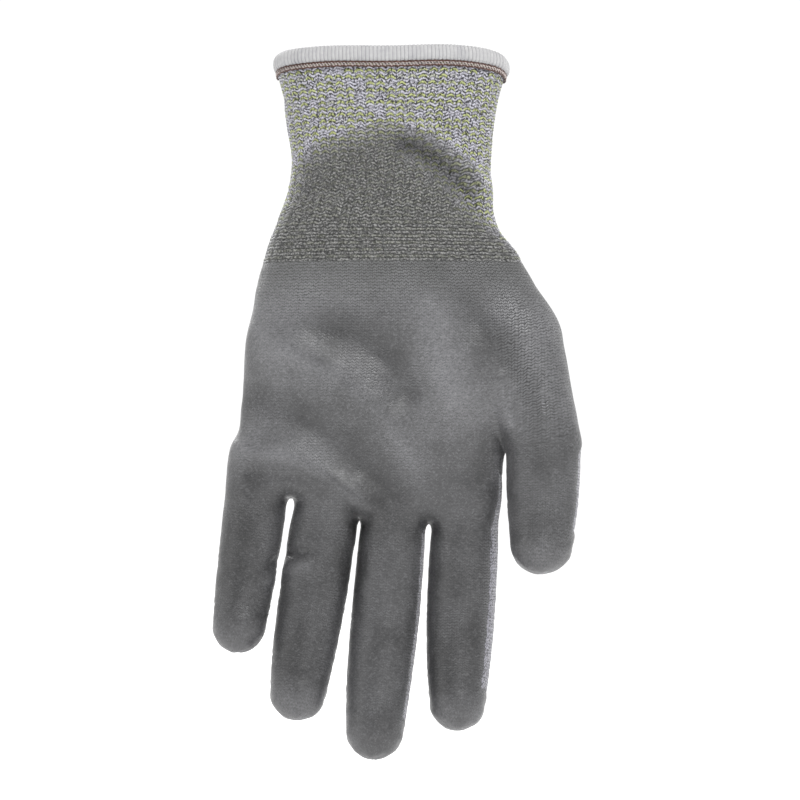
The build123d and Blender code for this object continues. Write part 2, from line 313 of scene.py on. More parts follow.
def round_bar(p, a, b, ra, rb):
    """Distance to a round-ended bar from a to b, of radius ra there and rb here."""
    ba = b - a
    l2, rr = ba @ ba, ra - rb
    a2 = l2 - rr * rr
    pa = p - a
    y = pa @ ba
    z = y - l2
    x2 = np.sum((pa * l2 - ba * y[:, None]) ** 2, axis=1)
    y2, z2 = y * y * l2, z * z * l2
    k = np.sign(rr) * rr * rr * x2
    side = (np.sqrt(x2 * a2 / l2) + y * rr) / l2 - ra
    far, near = np.sqrt(x2 + z2) / l2 - rb, np.sqrt(x2 + y2) / l2 - ra
    return np.where(np.sign(z) * a2 * z2 > k, far, np.where(np.sign(y) * a2 * y2 < k, near, side))


FINGER_JOINTS = ("base", "middle", "tip")
THUMB_ROOT = (43.0, -1.5, -103.0)
DIGITS = [
    Digit("index", FINGER_JOINTS, (11.6, 11.6, 10.6, 9.2), 7, (20, 10.8), -167.5, (-105, 52), 0.6, 0.7),
    Digit("middle", FINGER_JOINTS, (11.2, 11.6, 10.8, 9.4), 7, (20, 10.6), -168.0, (-105, 64), -0.3, 1.4),
    Digit("ring", FINGER_JOINTS, (11.2, 11.4, 10.4, 9.2), 7, (20, 10.6), -166.2, (-100, 92), -0.2, 0.3),
    Digit("little", FINGER_JOINTS, (10.4, 10.0, 9.3, 8.6), 7, (18, 10.2), -158.2, (-105, 100), -0.9, 1.7),
    Digit("thumb", ("base", "tip"), (12.8, 12.1, 10.3), 8, (THUMB_ROOT, 15.8), -141.6, (-100, 78), 0.0, 1.4),
]
FINGERS, THUMB = DIGITS[:4], DIGITS[4]
ROOT_MELT, END_MELT = 4.5, 9.0
THUMB_MELT = np.array(((116, 9.0), (128, 5.5), (136, 2.4), (146, 1.0)))  # by depth below the mouth


def section_at(z):
    """Half width, middle, half depth and roundness of the palm or the cuff at each height."""
    down = -z
    sizes = [smooth_curve(SECTIONS[:, 0], SECTIONS[:, k], down) for k in (1, 2, 3)]
    return (*sizes, np.interp(down, ROUNDNESS[:, 0], ROUNDNESS[:, 1]))


def palm_distance(p):
    half, middle, depth, n = section_at(p[:, 2])
    x, y = np.abs(p[:, 0] - middle) / half, np.abs(p[:, 1]) / depth
    f = np.maximum((x**n + y**n) ** (1 / n), 1e-6)
    slope = np.hypot((x / f) ** (n - 1) / half, (y / f) ** (n - 1) / depth)
    side = (f - 1) / np.maximum(slope, 1e-3)
    end = smooth_curve(PALM_END[:, 0], PALM_END[:, 1], p[:, 0]) - p[:, 2]
    return -smooth_min(-side, -end, END_MELT)


def hand_distance(p):
    fingers = np.min([digit.distance(p) for digit in FINGERS], axis=0)
    whole = smooth_min(palm_distance(p), fingers, ROOT_MELT)
    return smooth_min(whole, THUMB.distance(p), np.interp(-p[:, 2], *THUMB_MELT.T))


# ---------------------------------------------------------------- surfaces

NET_SKIP = 4  # only points this many steps from the surface, or nearer, are measured finely


def surface_net(distance, low, high, step):
    """Vertices and four-sided faces of the surface where distance is 0."""
    axes = [np.arange(a, b + step / 2, step) for a, b in zip(low, high)]
    shape = tuple(len(a) for a in axes)
    nearest = [np.clip(np.arange(0, n + NET_SKIP, NET_SKIP), 0, n - 1) for n in shape]
    rough_axes = [a[n] for a, n in zip(axes, nearest)]
    rough = distance(np.stack(np.meshgrid(*rough_axes, indexing="ij"), axis=-1).reshape(-1, 3))
    rough = rough.reshape([len(a) for a in rough_axes])
    pick = np.ix_(*[(np.arange(n) + NET_SKIP // 2) // NET_SKIP for n in shape])
    d = rough[pick]
    close = np.argwhere(np.abs(d) < NET_SKIP * step * 1.6)
    d[tuple(close.T)] = distance(np.stack([a[k] for a, k in zip(axes, close.T)], axis=1))
    inside = d < 0
    corners = [(i, j, k) for i in (0, 1) for j in (0, 1) for k in (0, 1)]

    def part(array, offset):
        return array[tuple(slice(o, o + s - 1) for o, s in zip(offset, shape))]

    count = sum(part(inside, c).astype(np.int8) for c in corners)
    cells = np.argwhere((count > 0) & (count < 8))
    number = np.full([s - 1 for s in shape], -1, np.int64)
    number[tuple(cells.T)] = np.arange(len(cells))
    total, crossings = np.zeros((len(cells), 3)), np.zeros(len(cells))
    for a in corners:
        for axis in range(3):
            if a[axis]:
                continue
            b = tuple(v + (k == axis) for k, v in enumerate(a))
            da, db = d[tuple((cells + a).T)], d[tuple((cells + b).T)]
            crosses = (da < 0) != (db < 0)
            t = np.where(crosses, da / np.where(crosses, da - db, 1), 0)
            point = cells + a + t[:, None] * np.eye(3)[axis]
            total += point * crosses[:, None]
            crossings += crosses
    vertices = np.array(low) + total / crossings[:, None] * step
    faces = []
    for axis in range(3):
        u, v = (axis + 1) % 3, (axis + 2) % 3
        near = [slice(None)] * 3
        far = [slice(None)] * 3
        near[axis], far[axis] = slice(0, -1), slice(1, None)
        crosses = np.argwhere(inside[tuple(near)] != inside[tuple(far)])
        inner = (crosses[:, u] > 0) & (crosses[:, v] > 0)
        inner &= (crosses[:, u] < shape[u] - 1) & (crosses[:, v] < shape[v] - 1)
        crosses = crosses[inner]
        ring = []
        for du, dv in ((-1, -1), (0, -1), (0, 0), (-1, 0)):
            cell = crosses.copy()
            cell[:, u] += du
            cell[:, v] += dv
            ring.append(number[tuple(cell.T)])
        ring = np.stack(ring, axis=1)
        outward = inside[tuple(near)][tuple(crosses.T)]
        faces.append(np.where(outward[:, None], ring, ring[:, ::-1]))
    return vertices, np.concatenate(faces)


def face_edges(faces):
    return np.concatenate([faces[:, [k, (k + 1) % 4]] for k in range(4)])


def single_edges(faces):
    """Which of the faces' edges belong to one face alone."""
    low, high = np.sort(face_edges(faces), axis=1).T
    _, back, times = np.unique(low * (faces.max() + 1) + high, return_inverse=True, return_counts=True)
    return times[back] == 1


def open_edge(faces, count):
    """Which vertices lie on an open edge."""
    on_edge = np.zeros(count, bool)
    on_edge[face_edges(faces)[single_edges(faces)]] = True
    return on_edge


def neighbour_mean(values, faces):
    """For each vertex, the mean of each column of values over its neighbours."""
    edges = face_edges(faces)
    a, b = np.concatenate([edges, edges[:, ::-1]]).T
    times = np.bincount(a, minlength=len(values))
    sums = [np.bincount(a, column[b], minlength=len(values)) for column in values.T]
    return np.stack(sums, axis=1) / np.maximum(times, 1)[:, None]


def vertex_normals(vertices, faces):
    a, b, c, d = (vertices[faces[:, k]] for k in range(4))
    normal = np.cross(c - a, d - b)
    out = np.zeros_like(vertices)
    for k in range(4):
        for axis in range(3):
            out[:, axis] += np.bincount(faces[:, k], normal[:, axis], minlength=len(vertices))
    return unit(out)


def gradient(distance, p, step=0.05):
    parts = [distance(p + step * e) - distance(p - step * e) for e in np.eye(3)]
    return np.stack(parts, axis=1) / (2 * step)


def relaxed(vertices, faces, distance, rounds, keep_z):
    """Evens the faces out and puts every vertex on the surface. keep_z stay at their height."""
    for _ in range(rounds):
        vertices = vertices * 0.4 + neighbour_mean(vertices, faces) * 0.6
        vertices[keep_z, 2] = -SEAM
        for _ in range(2):
            slope = gradient(distance, vertices)
            slope[keep_z, 2] = 0
            size = np.maximum(np.sum(slope**2, axis=1), 0.05)
            vertices = vertices - slope * (distance(vertices) / size)[:, None]
    return vertices


# ---------------------------------------------------------------- folds

# Each fold: points (across, height), how far it stands out, its half width.
FOLDS = (
    (((-32, -95), (-12, -100), (1, -110), (10, -125)), -2.9, 6.5),
    (((-46, -100), (-20, -112), (2, -131), (10, -153)), 1.5, 5.0),
    (((-51, -119), (-26, -130), (-6, -146), (6, -161)), -3.0, 6.4),
    (((-58, -137), (-34, -142), (-14, -153), (-2, -162)), 1.7, 4.0),
    (((-52, -147), (-32, -147), (-18, -154)), -1.8, 3.6),
    (((-2, -76), (14, -98), (27, -128)), 1.8, 10.0),
    (((16, -80), (26, -93), (36, -104), (44, -117), (48, -130)), -1.7, 5.0),
    (((36, -112), (39, -122), (41, -134)), 1.3, 3.4),
    (((4, -28), (19, -37), (33, -52)), 3.2, 2.8),
    (((0, -36), (10, -38), (20, -46), (33, -59)), -4.0, 3.9),
    (((-33, -43), (-20, -33), (-2, -29)), 0.8, 3.0),
    (((-36, -56), (-24, -49), (-4, -46)), -0.9, 5.0),
    (((-42, -181), (-36, -175), (-26, -173)), -3.2, 1.7),
    (((-43, -186), (-36, -180), (-25, -178)), 1.9, 2.6),
)
# Bands of painted shade along the folds of the palm side: points (across, height), how much, half width.
SHADES = (
    (((-34, -96), (-12, -101), (0, -111), (9, -126)), 1.0, 8.5),
    (((-46, -120), (-28, -129), (-15, -137), (-4, -149), (5, -163)), 1.0, 7.0),
    (((16, -80), (28, -92), (39, -103), (47, -116), (51, -130), (54, -162)), 1.0, 7.0),
    (((31, -136), (30, -152)), 0.8, 2.6),
)


def line_distance(x, z, points):
    """Distance in the front view to a bent line, and how far along it from 0 to 1."""
    best, where = np.full(len(x), np.inf), np.zeros(len(x))
    points = np.array(points, float)
    steps = len(points) - 1
    for n, (a, b) in enumerate(zip(points, points[1:])):
        way = b - a
        t = ((x - a[0]) * way[0] + (z - a[1]) * way[1]) / (way @ way)
        held = np.clip(t, 0, 1)
        off = np.hypot(x - a[0] - held * way[0], z - a[1] - held * way[1])
        closer = off < best
        best, where = np.where(closer, off, best), np.where(closer, (n + held) / steps, where)
    return best, where


def fold_height(p, normal):
    """How far the folds of the palm side push the fabric out."""
    front = smoothstep(-0.15, 0.55, -normal[:, 1])
    height = np.zeros(len(p))
    for points, amount, width in FOLDS:
        off, where = line_distance(p[:, 0], p[:, 2], points)
        ends = smoothstep(0, 0.15, where) * (1 - smoothstep(0.85, 1, where))
        height += amount * np.exp(-((off / width) ** 2)) * (0.35 + 0.65 * ends)
    return height * front


def shade(p, normal):
    """How much painted shade darkens the film of the palm side, from 0 to 1."""
    dark = np.zeros(len(p))
    for points, amount, width in SHADES:
        off, where = line_distance(p[:, 0], p[:, 2], points)
        ends = smoothstep(-0.05, 0.2, where) * (1 - smoothstep(0.8, 1.05, where))
        dark = np.maximum(dark, amount * np.exp(-((off / width) ** 2)) * (0.3 + 0.7 * ends))
    return dark * smoothstep(-0.15, 0.55, -normal[:, 1])


def back_height(p, normal):
    """The slack of the back of the hand: low waves across it."""
    back = smoothstep(-0.1, 0.6, normal[:, 1])
    waves = noise(p, (34, 40, 17), 5) * 0.8 + noise(p, (15, 20, 9), 6) * 0.35
    return back * waves


def slack(p, normal):
    """Every push of the fabric that the whole glove shares, away from its plain shape."""
    soft = 0.35 * noise(p, (16, 18, 13), 2) + 0.12 * noise(p, (6, 7, 4.5), 3)
    return fold_height(p, normal) + back_height(p, normal) + soft


def digit_wrinkles(p, digit, along, angle):
    """Small creases across a digit: in front and behind each of its folds, and round its tip."""
    height = np.zeros(len(p))
    wander = noise(p, (7, 7, 9), 11) * 1.6
    for pivot in digit.pivots[1:]:
        at = (pivot - digit.pivots[0]) @ digit.first
        for shift, amount in ((-2.6, -0.25), (0.4, -0.42), (3.1, -0.22)):
            behind = 0.75 * smoothstep(0.2, -0.8, np.cos(angle))
            height += amount * (0.5 + behind) * np.exp(-(((along - at - shift - wander) / 0.9) ** 2))
    fine = noise(np.stack([angle * 9, along * 2.2, np.zeros(len(p))], axis=1), 4.0, 13)
    near_tip = smoothstep(digit.total - 20, digit.total - 6, along)
    return height + fine * (0.1 + 0.14 * near_tip)


# ---------------------------------------------------------------- the film's edge


def rib_film_edge(p):
    """How far inside the film's edge a point of the cuff is. The edge is an arch in front."""
    x = p[:, 0] + 2
    reach = np.where(x < 0, 34.0, 37.0)
    arch = -29.5 - 26 * (1 - np.sqrt(np.clip(1 - (x / reach) ** 2, 0, 1))) - 0.1 * np.maximum(x, 0)
    left = np.interp(-p[:, 2], (30, 50, 66, 72), (-10, -6, 0, 2))
    right = np.interp(-p[:, 2], (30, 56, 66, 72), (-14, -11, -5, -2))
    side = np.where(p[:, 0] < 0, left, right) - p[:, 1]
    ragged = 0.8 * noise(p, (3, 3, 3), 21) + 1.2 * noise(p, (9, 9, 9), 22)
    return np.minimum(arch - p[:, 2], side) + ragged


def digit_film_edge(digit, along, angle):
    left, right = (radians(a) for a in digit.film)
    size = digit.radii[1]
    side = np.minimum(angle - left, right - angle) * size
    tip = along - (digit.total - 0.72 * 2 * digit.radii[-1])
    return np.maximum(side, tip)


def hand_film_edge(p, rounds):
    """How far inside the film's edge a point of the hand is."""
    down = -p[:, 2]
    right = np.interp(down, (72, 90, 108, 135, 145, 168), (-2, 2, 3, 2, -4.5, -7.0))
    left = np.interp(down, (72, 90, 168), (2, 3.5, 4))
    between = smoothstep(38, 30, p[:, 0]) * smoothstep(140, 146, down)
    right = right * (1 - between) + 3.5 * between
    edge = np.where(p[:, 0] < 0, left, right) - p[:, 1]
    nearest = np.argmin([digit.distance(p) for digit in DIGITS], axis=0)
    for n, digit in enumerate(DIGITS):
        along, angle = rounds[n]
        clear = clear_at(digit)
        own = (nearest == n) * smoothstep(clear - 9, clear + 1, along)
        edge = edge * (1 - own) + digit_film_edge(digit, along, angle) * own
    return edge + 0.5 * noise(p, (2.5, 2.5, 2.5), 23) + 0.7 * noise(p, (7, 7, 7), 24)


# ---------------------------------------------------------------- the hand


SIDE_ROOM, DEPTH_ROOM, TIP_ROOM = 8, 12, 4  # the searched space reaches this far past the hand
RELAX_ROUNDS = 4


def make_hand():
    """The hand's surface: vertices, faces, which digit each vertex is on (-1 is the palm), and for
    each digit how far along it and round it each vertex is."""
    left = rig.box("little_base_liner")[0][0] / MM - SIDE_ROOM
    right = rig.box("thumb_tip_liner")[1][0] / MM + SIDE_ROOM
    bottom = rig.box("middle_tip_coating")[0][2] / MM - TIP_ROOM
    depth = SECTIONS[:, 3].max() + DEPTH_ROOM
    top = -SEAM + 0.6 * HAND_STEP
    vertices, faces = surface_net(hand_distance, (left, -depth, bottom), (right, depth, top), HAND_STEP)
    faces, used = some_faces(faces, slice(None))
    vertices = vertices[used]
    rim = open_edge(faces, len(vertices))
    vertices = relaxed(vertices, faces, hand_distance, RELAX_ROUNDS, rim)
    rounds = [digit.along_and_round(vertices) for digit in DIGITS]
    nearest = np.argmin([digit.distance(vertices) for digit in DIGITS], axis=0)
    labels = np.full(len(vertices), -1)
    for n, digit in enumerate(DIGITS):
        beyond = (vertices - digit.pivots[0]) @ digit.first > clear_at(digit)
        labels[(nearest == n) & beyond] = n
    return vertices, faces, labels, rounds


def clear_at(digit):
    """Where along a digit, from its first pivot, it is clear of the palm and its neighbours."""
    return (digit.clear - digit.pivots[0][2]) / digit.first[2]


def hand_push(vertices, normals, rounds):
    """How far out each vertex of the hand goes. At the seam it is what the cuff does there."""
    shared = push = slack(vertices, normals)
    nearest = np.argmin([digit.distance(vertices) for digit in DIGITS], axis=0)
    for n, (digit, (along, angle)) in enumerate(zip(DIGITS, rounds)):
        clear = clear_at(digit)
        on = (nearest == n) * smoothstep(clear - 3, clear + 5, along)
        push = push * (1 - 0.55 * on) + digit_wrinkles(vertices, digit, along, angle) * on
    past_seam = smoothstep(-SEAM, -SEAM - 3, vertices[:, 2])
    return push * past_seam + shared * (1 - past_seam)


BEND_BEFORE, BEND_AFTER, BEND_AFTER_LAST = 9.5, 10.5, 9.5  # how far from its pivot a fold reaches
BASE_EXTRA = 2.0  # the base piece is this much longer than half way to the next pivot
BEND_GAP = 1.0  # fabric that stays straight on each side of a cut


def bend_zones(digit):
    """For each joint of a digit, where its bending starts and ends, and where its piece ends."""
    at = [(pivot - digit.pivots[0]) @ digit.first for pivot in digit.pivots]
    at.append(digit.total + 5)
    zones = []
    start = clear_at(digit) + 0.5
    for n, pivot_at in enumerate(at[:-1]):
        last = n == len(at) - 2
        cut = at[-1] if last else (pivot_at + at[n + 1]) / 2 + (0.0 if n else BASE_EXTRA)
        end = min(cut - BEND_GAP, pivot_at + (BEND_AFTER_LAST if last else BEND_AFTER))
        if n:
            start = max(start, pivot_at - BEND_BEFORE)
        zones.append((start, end, cut))
        start = cut + BEND_GAP
    return zones


# ---------------------------------------------------------------- meshes


def new_object(name, vertices, faces, material, normals=None, uv=None, floats=None):
    """A smooth mesh of four-sided faces. vertices are in millimetres."""
    mesh = bpy.data.meshes.new(name)
    faces = np.asarray(faces, np.int32)
    mesh.vertices.add(len(vertices))
    mesh.vertices.foreach_set("co", (np.asarray(vertices) * MM).astype(np.float32).ravel())
    mesh.loops.add(faces.size)
    mesh.loops.foreach_set("vertex_index", faces.ravel())
    mesh.polygons.add(len(faces))
    mesh.polygons.foreach_set("loop_start", np.arange(0, faces.size, 4, dtype=np.int32))
    mesh.update(calc_edges=True)
    mesh.shade_smooth()
    if uv is not None:
        layer = mesh.uv_layers.new(name="Knit")
        layer.data.foreach_set("uv", uv.astype(np.float32).ravel())
    for key, values in (floats or {}).items():
        attribute = mesh.attributes.new(key, "FLOAT", "POINT")
        attribute.data.foreach_set("value", values.astype(np.float32))
    if normals is not None:
        mesh.normals_split_custom_set_from_vertices(normals.tolist())
    mesh.materials.append(material)
    piece = bpy.data.objects.new(name, mesh)
    bpy.context.scene.collection.objects.link(piece)
    return piece


def some_faces(faces, keep):
    """The kept faces, renumbered, and the vertices that they use."""
    faces = faces[keep]
    used = np.unique(faces)
    number = np.full(used.max() + 1, -1)
    number[used] = np.arange(len(used))
    return number[faces], used


def walled(name, vertices, faces, normals, lift, wall, material, uv, floats):
    """A skin with a thickness: its outside lies lift above the vertices, its inside wall below."""
    lift, wall = (np.broadcast_to(a, len(vertices))[:, None] for a in (lift, wall))
    outside = vertices + normals * lift
    inside = outside - normals * wall
    count = len(vertices)
    single = single_edges(faces)
    a, b = face_edges(faces)[single].T
    rim = np.stack([b, a, a + count, b + count], axis=1)
    corner_uv = np.concatenate([uv[:, [k, (k + 1) % 4]] for k in range(4)])[single]
    rim_uv = corner_uv[:, [1, 0, 0, 1]]
    return new_object(
        name,
        np.concatenate([outside, inside]),
        np.concatenate([faces, faces[:, ::-1] + count, rim]),
        material,
        np.concatenate([normals, -normals]),
        np.concatenate([uv, uv[:, ::-1], rim_uv]),
        {key: np.concatenate([v, v]) for key, v in floats.items()},
    )


# ---------------------------------------------------------------- knit coordinates


def girth_table():
    """For a middling section: the angle in its own proportions, how far round and how far across that is."""
    half, depth, n = 46.0, 17.5, 2.5
    t = np.linspace(0, 2 * pi, 1441)
    r = (np.abs(np.cos(t)) ** n + np.abs(np.sin(t)) ** n) ** (-1 / n)
    x, y = half * r * np.cos(t), depth * r * np.sin(t)
    length = np.concatenate([[0], np.cumsum(np.hypot(np.diff(x), np.diff(y)))])
    return t, length / length[-1], x / half


GIRTH_ANGLE, GIRTH_PART, GIRTH_ACROSS = girth_table()


def part_round(p):
    """How far round the palm or the cuff each point is, from 0 to 1."""
    half, middle, depth, _ = section_at(p[:, 2])
    across = (p[:, 0] - middle) / half
    angle = np.arctan2(p[:, 1] / depth, across) % (2 * pi)
    by_angle = np.interp(angle, GIRTH_ANGLE, GIRTH_PART)
    back = len(GIRTH_ANGLE) // 2 + 1
    by_width = np.interp(-across, -GIRTH_ACROSS[:back], GIRTH_PART[:back])
    by_width = np.where(p[:, 1] < 0, 1 - by_width, by_width)
    near_side = smoothstep(0.78, 0.96, np.abs(across))
    return by_width + near_side * ((by_angle - by_width + 0.5) % 1 - 0.5)


def unwrapped(u, period):
    """Each face's corners counted from its first, with no jump where the columns start again."""
    return u[:, :1] + (u - u[:, :1] + period / 2) % period - period / 2


def hand_knit(vertices, faces, face_labels, rounds):
    """The stitch column and row at each corner of each face."""
    columns = [part_round(vertices) * HAND_WALES]
    rows = [-vertices[:, 2] / HAND_COURSE]
    for along, angle in rounds:
        for _ in range(ROW_SOFTENING):
            along = neighbour_mean(along[:, None], faces)[:, 0]
        columns.append(angle / (2 * pi) * FINGER_WALES)
        rows.append(along / HAND_COURSE)
    periods = np.array([HAND_WALES] + [FINGER_WALES] * len(rounds))
    pick = face_labels + 1
    u = np.stack(columns)[pick[:, None], faces]
    v = np.stack(rows)[pick[:, None], faces]
    return np.stack([unwrapped(u, periods[pick][:, None]), v], axis=2)


# ---------------------------------------------------------------- the hand's pieces


MOUND_EDGE = ((80, 100, 132), (20, 32, 44))  # depth below the mouth, and where the thumb's mound starts
MOUND_FADE = (120, 145)  # depths between which the darker look of the mound ends
THIN_FADE = (76, 104)  # depths between which the film grows thick enough to hide the knit
FINGER_FADE = (128, 166)  # depths between which the film darkens towards the fingers
SEAM_SHADE = 19  # how far below the seam the film is darker
TIP_LIGHT_FROM, TIP_LIGHT_TO = 15, 4  # distances from a fingertip between which its film is painted paler, as painted rim light


def hand_pieces(materials):
    vertices, faces, labels, rounds = make_hand()
    normals = vertex_normals(vertices, faces)
    vertices = vertices + normals * hand_push(vertices, normals, rounds)[:, None]
    normals = vertex_normals(vertices, faces)
    rounds = [digit.along_and_round(vertices) for digit in DIGITS]
    edge = hand_film_edge(vertices, rounds)
    down = -vertices[:, 2]
    mound = smoothstep(-2, 8, vertices[:, 0] - np.interp(down, *MOUND_EDGE))
    mound = mound * (1 - smoothstep(*MOUND_FADE, down))
    thumb_tone = smoothstep(-16, 14, rounds[-1][0]) * (THUMB.distance(vertices) < palm_distance(vertices) + 2)
    floats = {
        "film": edge,
        "thin": np.maximum(1 - smoothstep(*THIN_FADE, down), 0.75 * mound),
        "tone": np.maximum(smoothstep(*FINGER_FADE, down) * (labels != DIGITS.index(THUMB)), 0.55 * thumb_tone),
        "seam": 1 - smoothstep(SEAM, SEAM + SEAM_SHADE, down),
        # the folds' height, which the film also takes for painted shade in their hollows and painted highlight on
        # their ridges
        "fold": fold_height(vertices, normals),
        # painted shade in bands along the palm's folds, and a darker thumb mound
        "shade": np.maximum(shade(vertices, normals), 0.5 * mound),
        # painted rim light: the film paler towards each fingertip
        "worn": np.max([
            (labels == n) * smoothstep(digit.total - TIP_LIGHT_FROM, digit.total - TIP_LIGHT_TO, rounds[n][0])
            for n, digit in enumerate(DIGITS)
        ], axis=0),
    }
    face_labels = labels[faces].min(axis=1)
    on_thumb = (THUMB.distance(vertices) < palm_distance(vertices) - 0.3) & (down > 90)
    knitted_as = np.where((face_labels < 0) & on_thumb[faces].all(axis=1), DIGITS.index(THUMB), face_labels)
    uv = hand_knit(vertices, faces, knitted_as, rounds)
    coated = edge[faces].min(axis=1) > 0
    done = {}

    def add(name, keep, nodes, place):
        for layer, chosen in (("knit", keep), ("film", keep & coated)):
            if not chosen.any():
                continue
            own, used = some_faces(faces, chosen)
            part = {key: value[used] for key, value in floats.items()}
            args = (vertices[used], own, normals[used])
            if layer == "knit":
                piece = walled(f"{name}_knit", *args, 0, KNIT_WALL, materials["hand_knit"], uv[chosen], part)
                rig.replaces(piece, f"{nodes}_liner")
                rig.slot(piece, "knit_liner")
            else:
                past_seam = smoothstep(SEAM, SEAM + 5, -args[0][:, 2])
                grow = FILM_EDGE + FILM_WALL * smoothstep(0, FILM_FADE, part["film"]) * past_seam
                skin = (grow, grow - FILM_CLEAR, materials["hand_film"])
                piece = walled(f"{name}_film", *args, *skin, uv[chosen], part)
                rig.replaces(piece, f"{nodes}_coating")
                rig.slot(piece, "dipped_coating")
            place(piece)
            done[piece.name] = piece

    add("palm", face_labels < 0, "palm", lambda piece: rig.ride(piece, "palm"))
    for n, digit in enumerate(DIGITS):
        along = rounds[n][0][faces].mean(axis=1)
        zones = bend_zones(digit)
        previous, parent = -np.inf, "palm"
        for body, (start, end, cut) in zip(digit.bodies, zones):
            keep = (face_labels == n) & (along >= previous) & (along < cut)
            a, b = (tuple(digit_point(digit, at) * MM) for at in (start, end))
            add(body, keep, body, lambda piece, a=a, b=b, p=parent, c=body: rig.blend(piece, p, c, a, b))
            previous, parent = cut, body
    return done


def digit_point(digit, at):
    """The point of a digit's axis this far from its first pivot."""
    n = np.searchsorted(digit.offsets, at, side="right") - 1
    n = int(np.clip(n, 0, len(digit.lengths) - 1))
    return digit.points[n] + digit.ways[n] * (at - digit.offsets[n])


# ---------------------------------------------------------------- the cuff

RIB_FACES, RIB_ROW = 13, 0.285  # faces across one rib, and the height of a row of them
HEM_HEIGHT = 5.6
RIM_FRONT, RIM_BACK = 3.9, 2.2  # how far the mouth's edge lies below the highest point
RIM_SAG, RIM_SLIP = 1.9, 0.8  # it drops further at both sides, more so by the thumb


def rim_drop(angle):
    """How far the cuff's edge lies below its highest point, at each angle round."""
    side = np.abs(np.cos(angle)) ** 8
    drop = RIM_FRONT + (RIM_BACK - RIM_FRONT) * (1 + np.sin(angle)) / 2
    drop = drop + RIM_SAG * side + RIM_SLIP * side * (np.cos(angle) > 0)
    return drop + 0.25 * np.sin(3 * angle + 1.0) + 0.15 * np.sin(7 * angle)


def cuff_point(part, down):
    """A point of the cuff's plain shape, and the angle round it: part of the way round from 0 to 1,
    and this far down from the cuff's edge."""
    angle = np.interp(part % 1, GIRTH_PART, GIRTH_ANGLE)
    z = -down - rim_drop(angle) * (1 - smoothstep(0, 58, down))
    half, middle, depth, n = section_at(z)
    r = (np.abs(np.cos(angle)) ** n + np.abs(np.sin(angle)) ** n) ** (-1 / n)
    return np.stack([middle + half * r * np.cos(angle), depth * r * np.sin(angle), z], axis=-1)


def cuff_grid(columns, downs):
    """A closed grid round the cuff: its vertices, faces, part of the way round and depth down."""
    part, down = np.meshgrid(np.arange(columns) / columns, downs)
    part, down = part.ravel(), down.ravel()
    vertices = cuff_point(part, down)
    faces = ring_faces(columns, len(downs))
    normals = vertex_normals(vertices, faces)
    vertices = vertices + normals * slack(vertices, normals)[:, None]
    return vertices, faces, part, down


def ring_faces(columns, rows):
    """Faces of a grid whose rows run round and join up, seen from outside, rows going down."""
    i, j = np.meshgrid(np.arange(rows - 1), np.arange(columns), indexing="ij")
    i, j = i.ravel(), j.ravel()
    k = (j + 1) % columns
    return np.stack([i * columns + j, (i + 1) * columns + j, (i + 1) * columns + k, i * columns + k], axis=1)


ARCH = 0.34  # how far a row of yarn rises over a rib, as a part of a row
ARCH_ENDS = (48, 60)  # between these rows the arches flatten towards the palm


def yarn_relief(rib, row, p):
    """Height from 0 to 1 of the rib knit: rows of yarn that arch over each rib and dip between."""
    arch = ARCH * (1 - 0.75 * smoothstep(*ARCH_ENDS, row))
    arched = row - arch * np.cos(2 * pi * rib) + 0.16 * noise(p, (2.6, 2.6, 2.0), 32)
    yarn = np.sqrt(np.clip(1 - (2 * (arched % 1) - 1) ** 2, 0, 1))
    crown = 0.30 + 0.70 * np.abs(np.sin(pi * rib)) ** 0.9
    split = 1 - 0.25 * np.exp(-(((rib % 1 - 0.5) / 0.09) ** 2))
    uneven = 0.85 + 0.25 * noise(p, (1.9, 1.9, 1.2), 31)
    return yarn * crown * split * uneven



WRIST_START, WRIST_END = (0, 0, -24 * MM), (0, 0, -64 * MM)  # where the wrist's bend starts and ends


def rib_pieces(materials):
    columns = RIBS * RIB_FACES
    downs = np.arange(HEM_HEIGHT * 0.5, SEAM + 1.4, RIB_ROW)
    vertices, faces, part, down = cuff_grid(columns, downs)
    normals = vertex_normals(vertices, faces)
    rib, row = part * RIBS, down / RIB_COURSE
    edge = rib_film_edge(vertices)
    tuck = -0.16 * smoothstep(SEAM - 1.0, SEAM + 0.3, down)
    soaked = 1 - 0.2 * smoothstep(-1, 5, edge)
    relief = yarn_relief(rib, row, vertices) - 0.55
    vertices = vertices + normals * (0.55 * relief * soaked + tuck)[:, None]
    # the folds' height, which the rib's materials take for painted shadow in their hollows
    floats = {"film": edge, "fold": fold_height(vertices, normals)}
    uv = np.stack([unwrapped(rib[faces], RIBS), row[faces]], axis=2)
    knit = new_object("rib_knit_outside", vertices, faces, materials["rib_knit"], None, uv, floats)
    coated = (edge[faces].min(axis=1) > 0) & (down[faces].max(axis=1) < SEAM + 0.2)
    own, used = some_faces(faces, coated)
    grow = RIB_FILM_EDGE + RIB_FILM_WALL * smoothstep(0, FILM_FADE, edge[used])
    outer_normals = vertex_normals(vertices, faces)[used]
    film = walled(
        "rib_film", vertices[used], own, outer_normals, grow, grow - RIB_FILM_CLEAR,
        materials["rib_film"], uv[coated], {key: value[used] for key, value in floats.items()},
    )
    lining = rib_lining(materials)
    for piece, slot, nodes in (
        (knit, "rib_knit", ("cuff_knit",)),
        (film, "dipped_coating", ("cuff_coating", "wrist_coating")),
        (lining, "rib_knit", ("wrist_knit",)),
    ):
        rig.replaces(piece, *nodes)
        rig.slot(piece, slot)
        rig.blend(piece, "cuff", "palm", WRIST_START, WRIST_END)


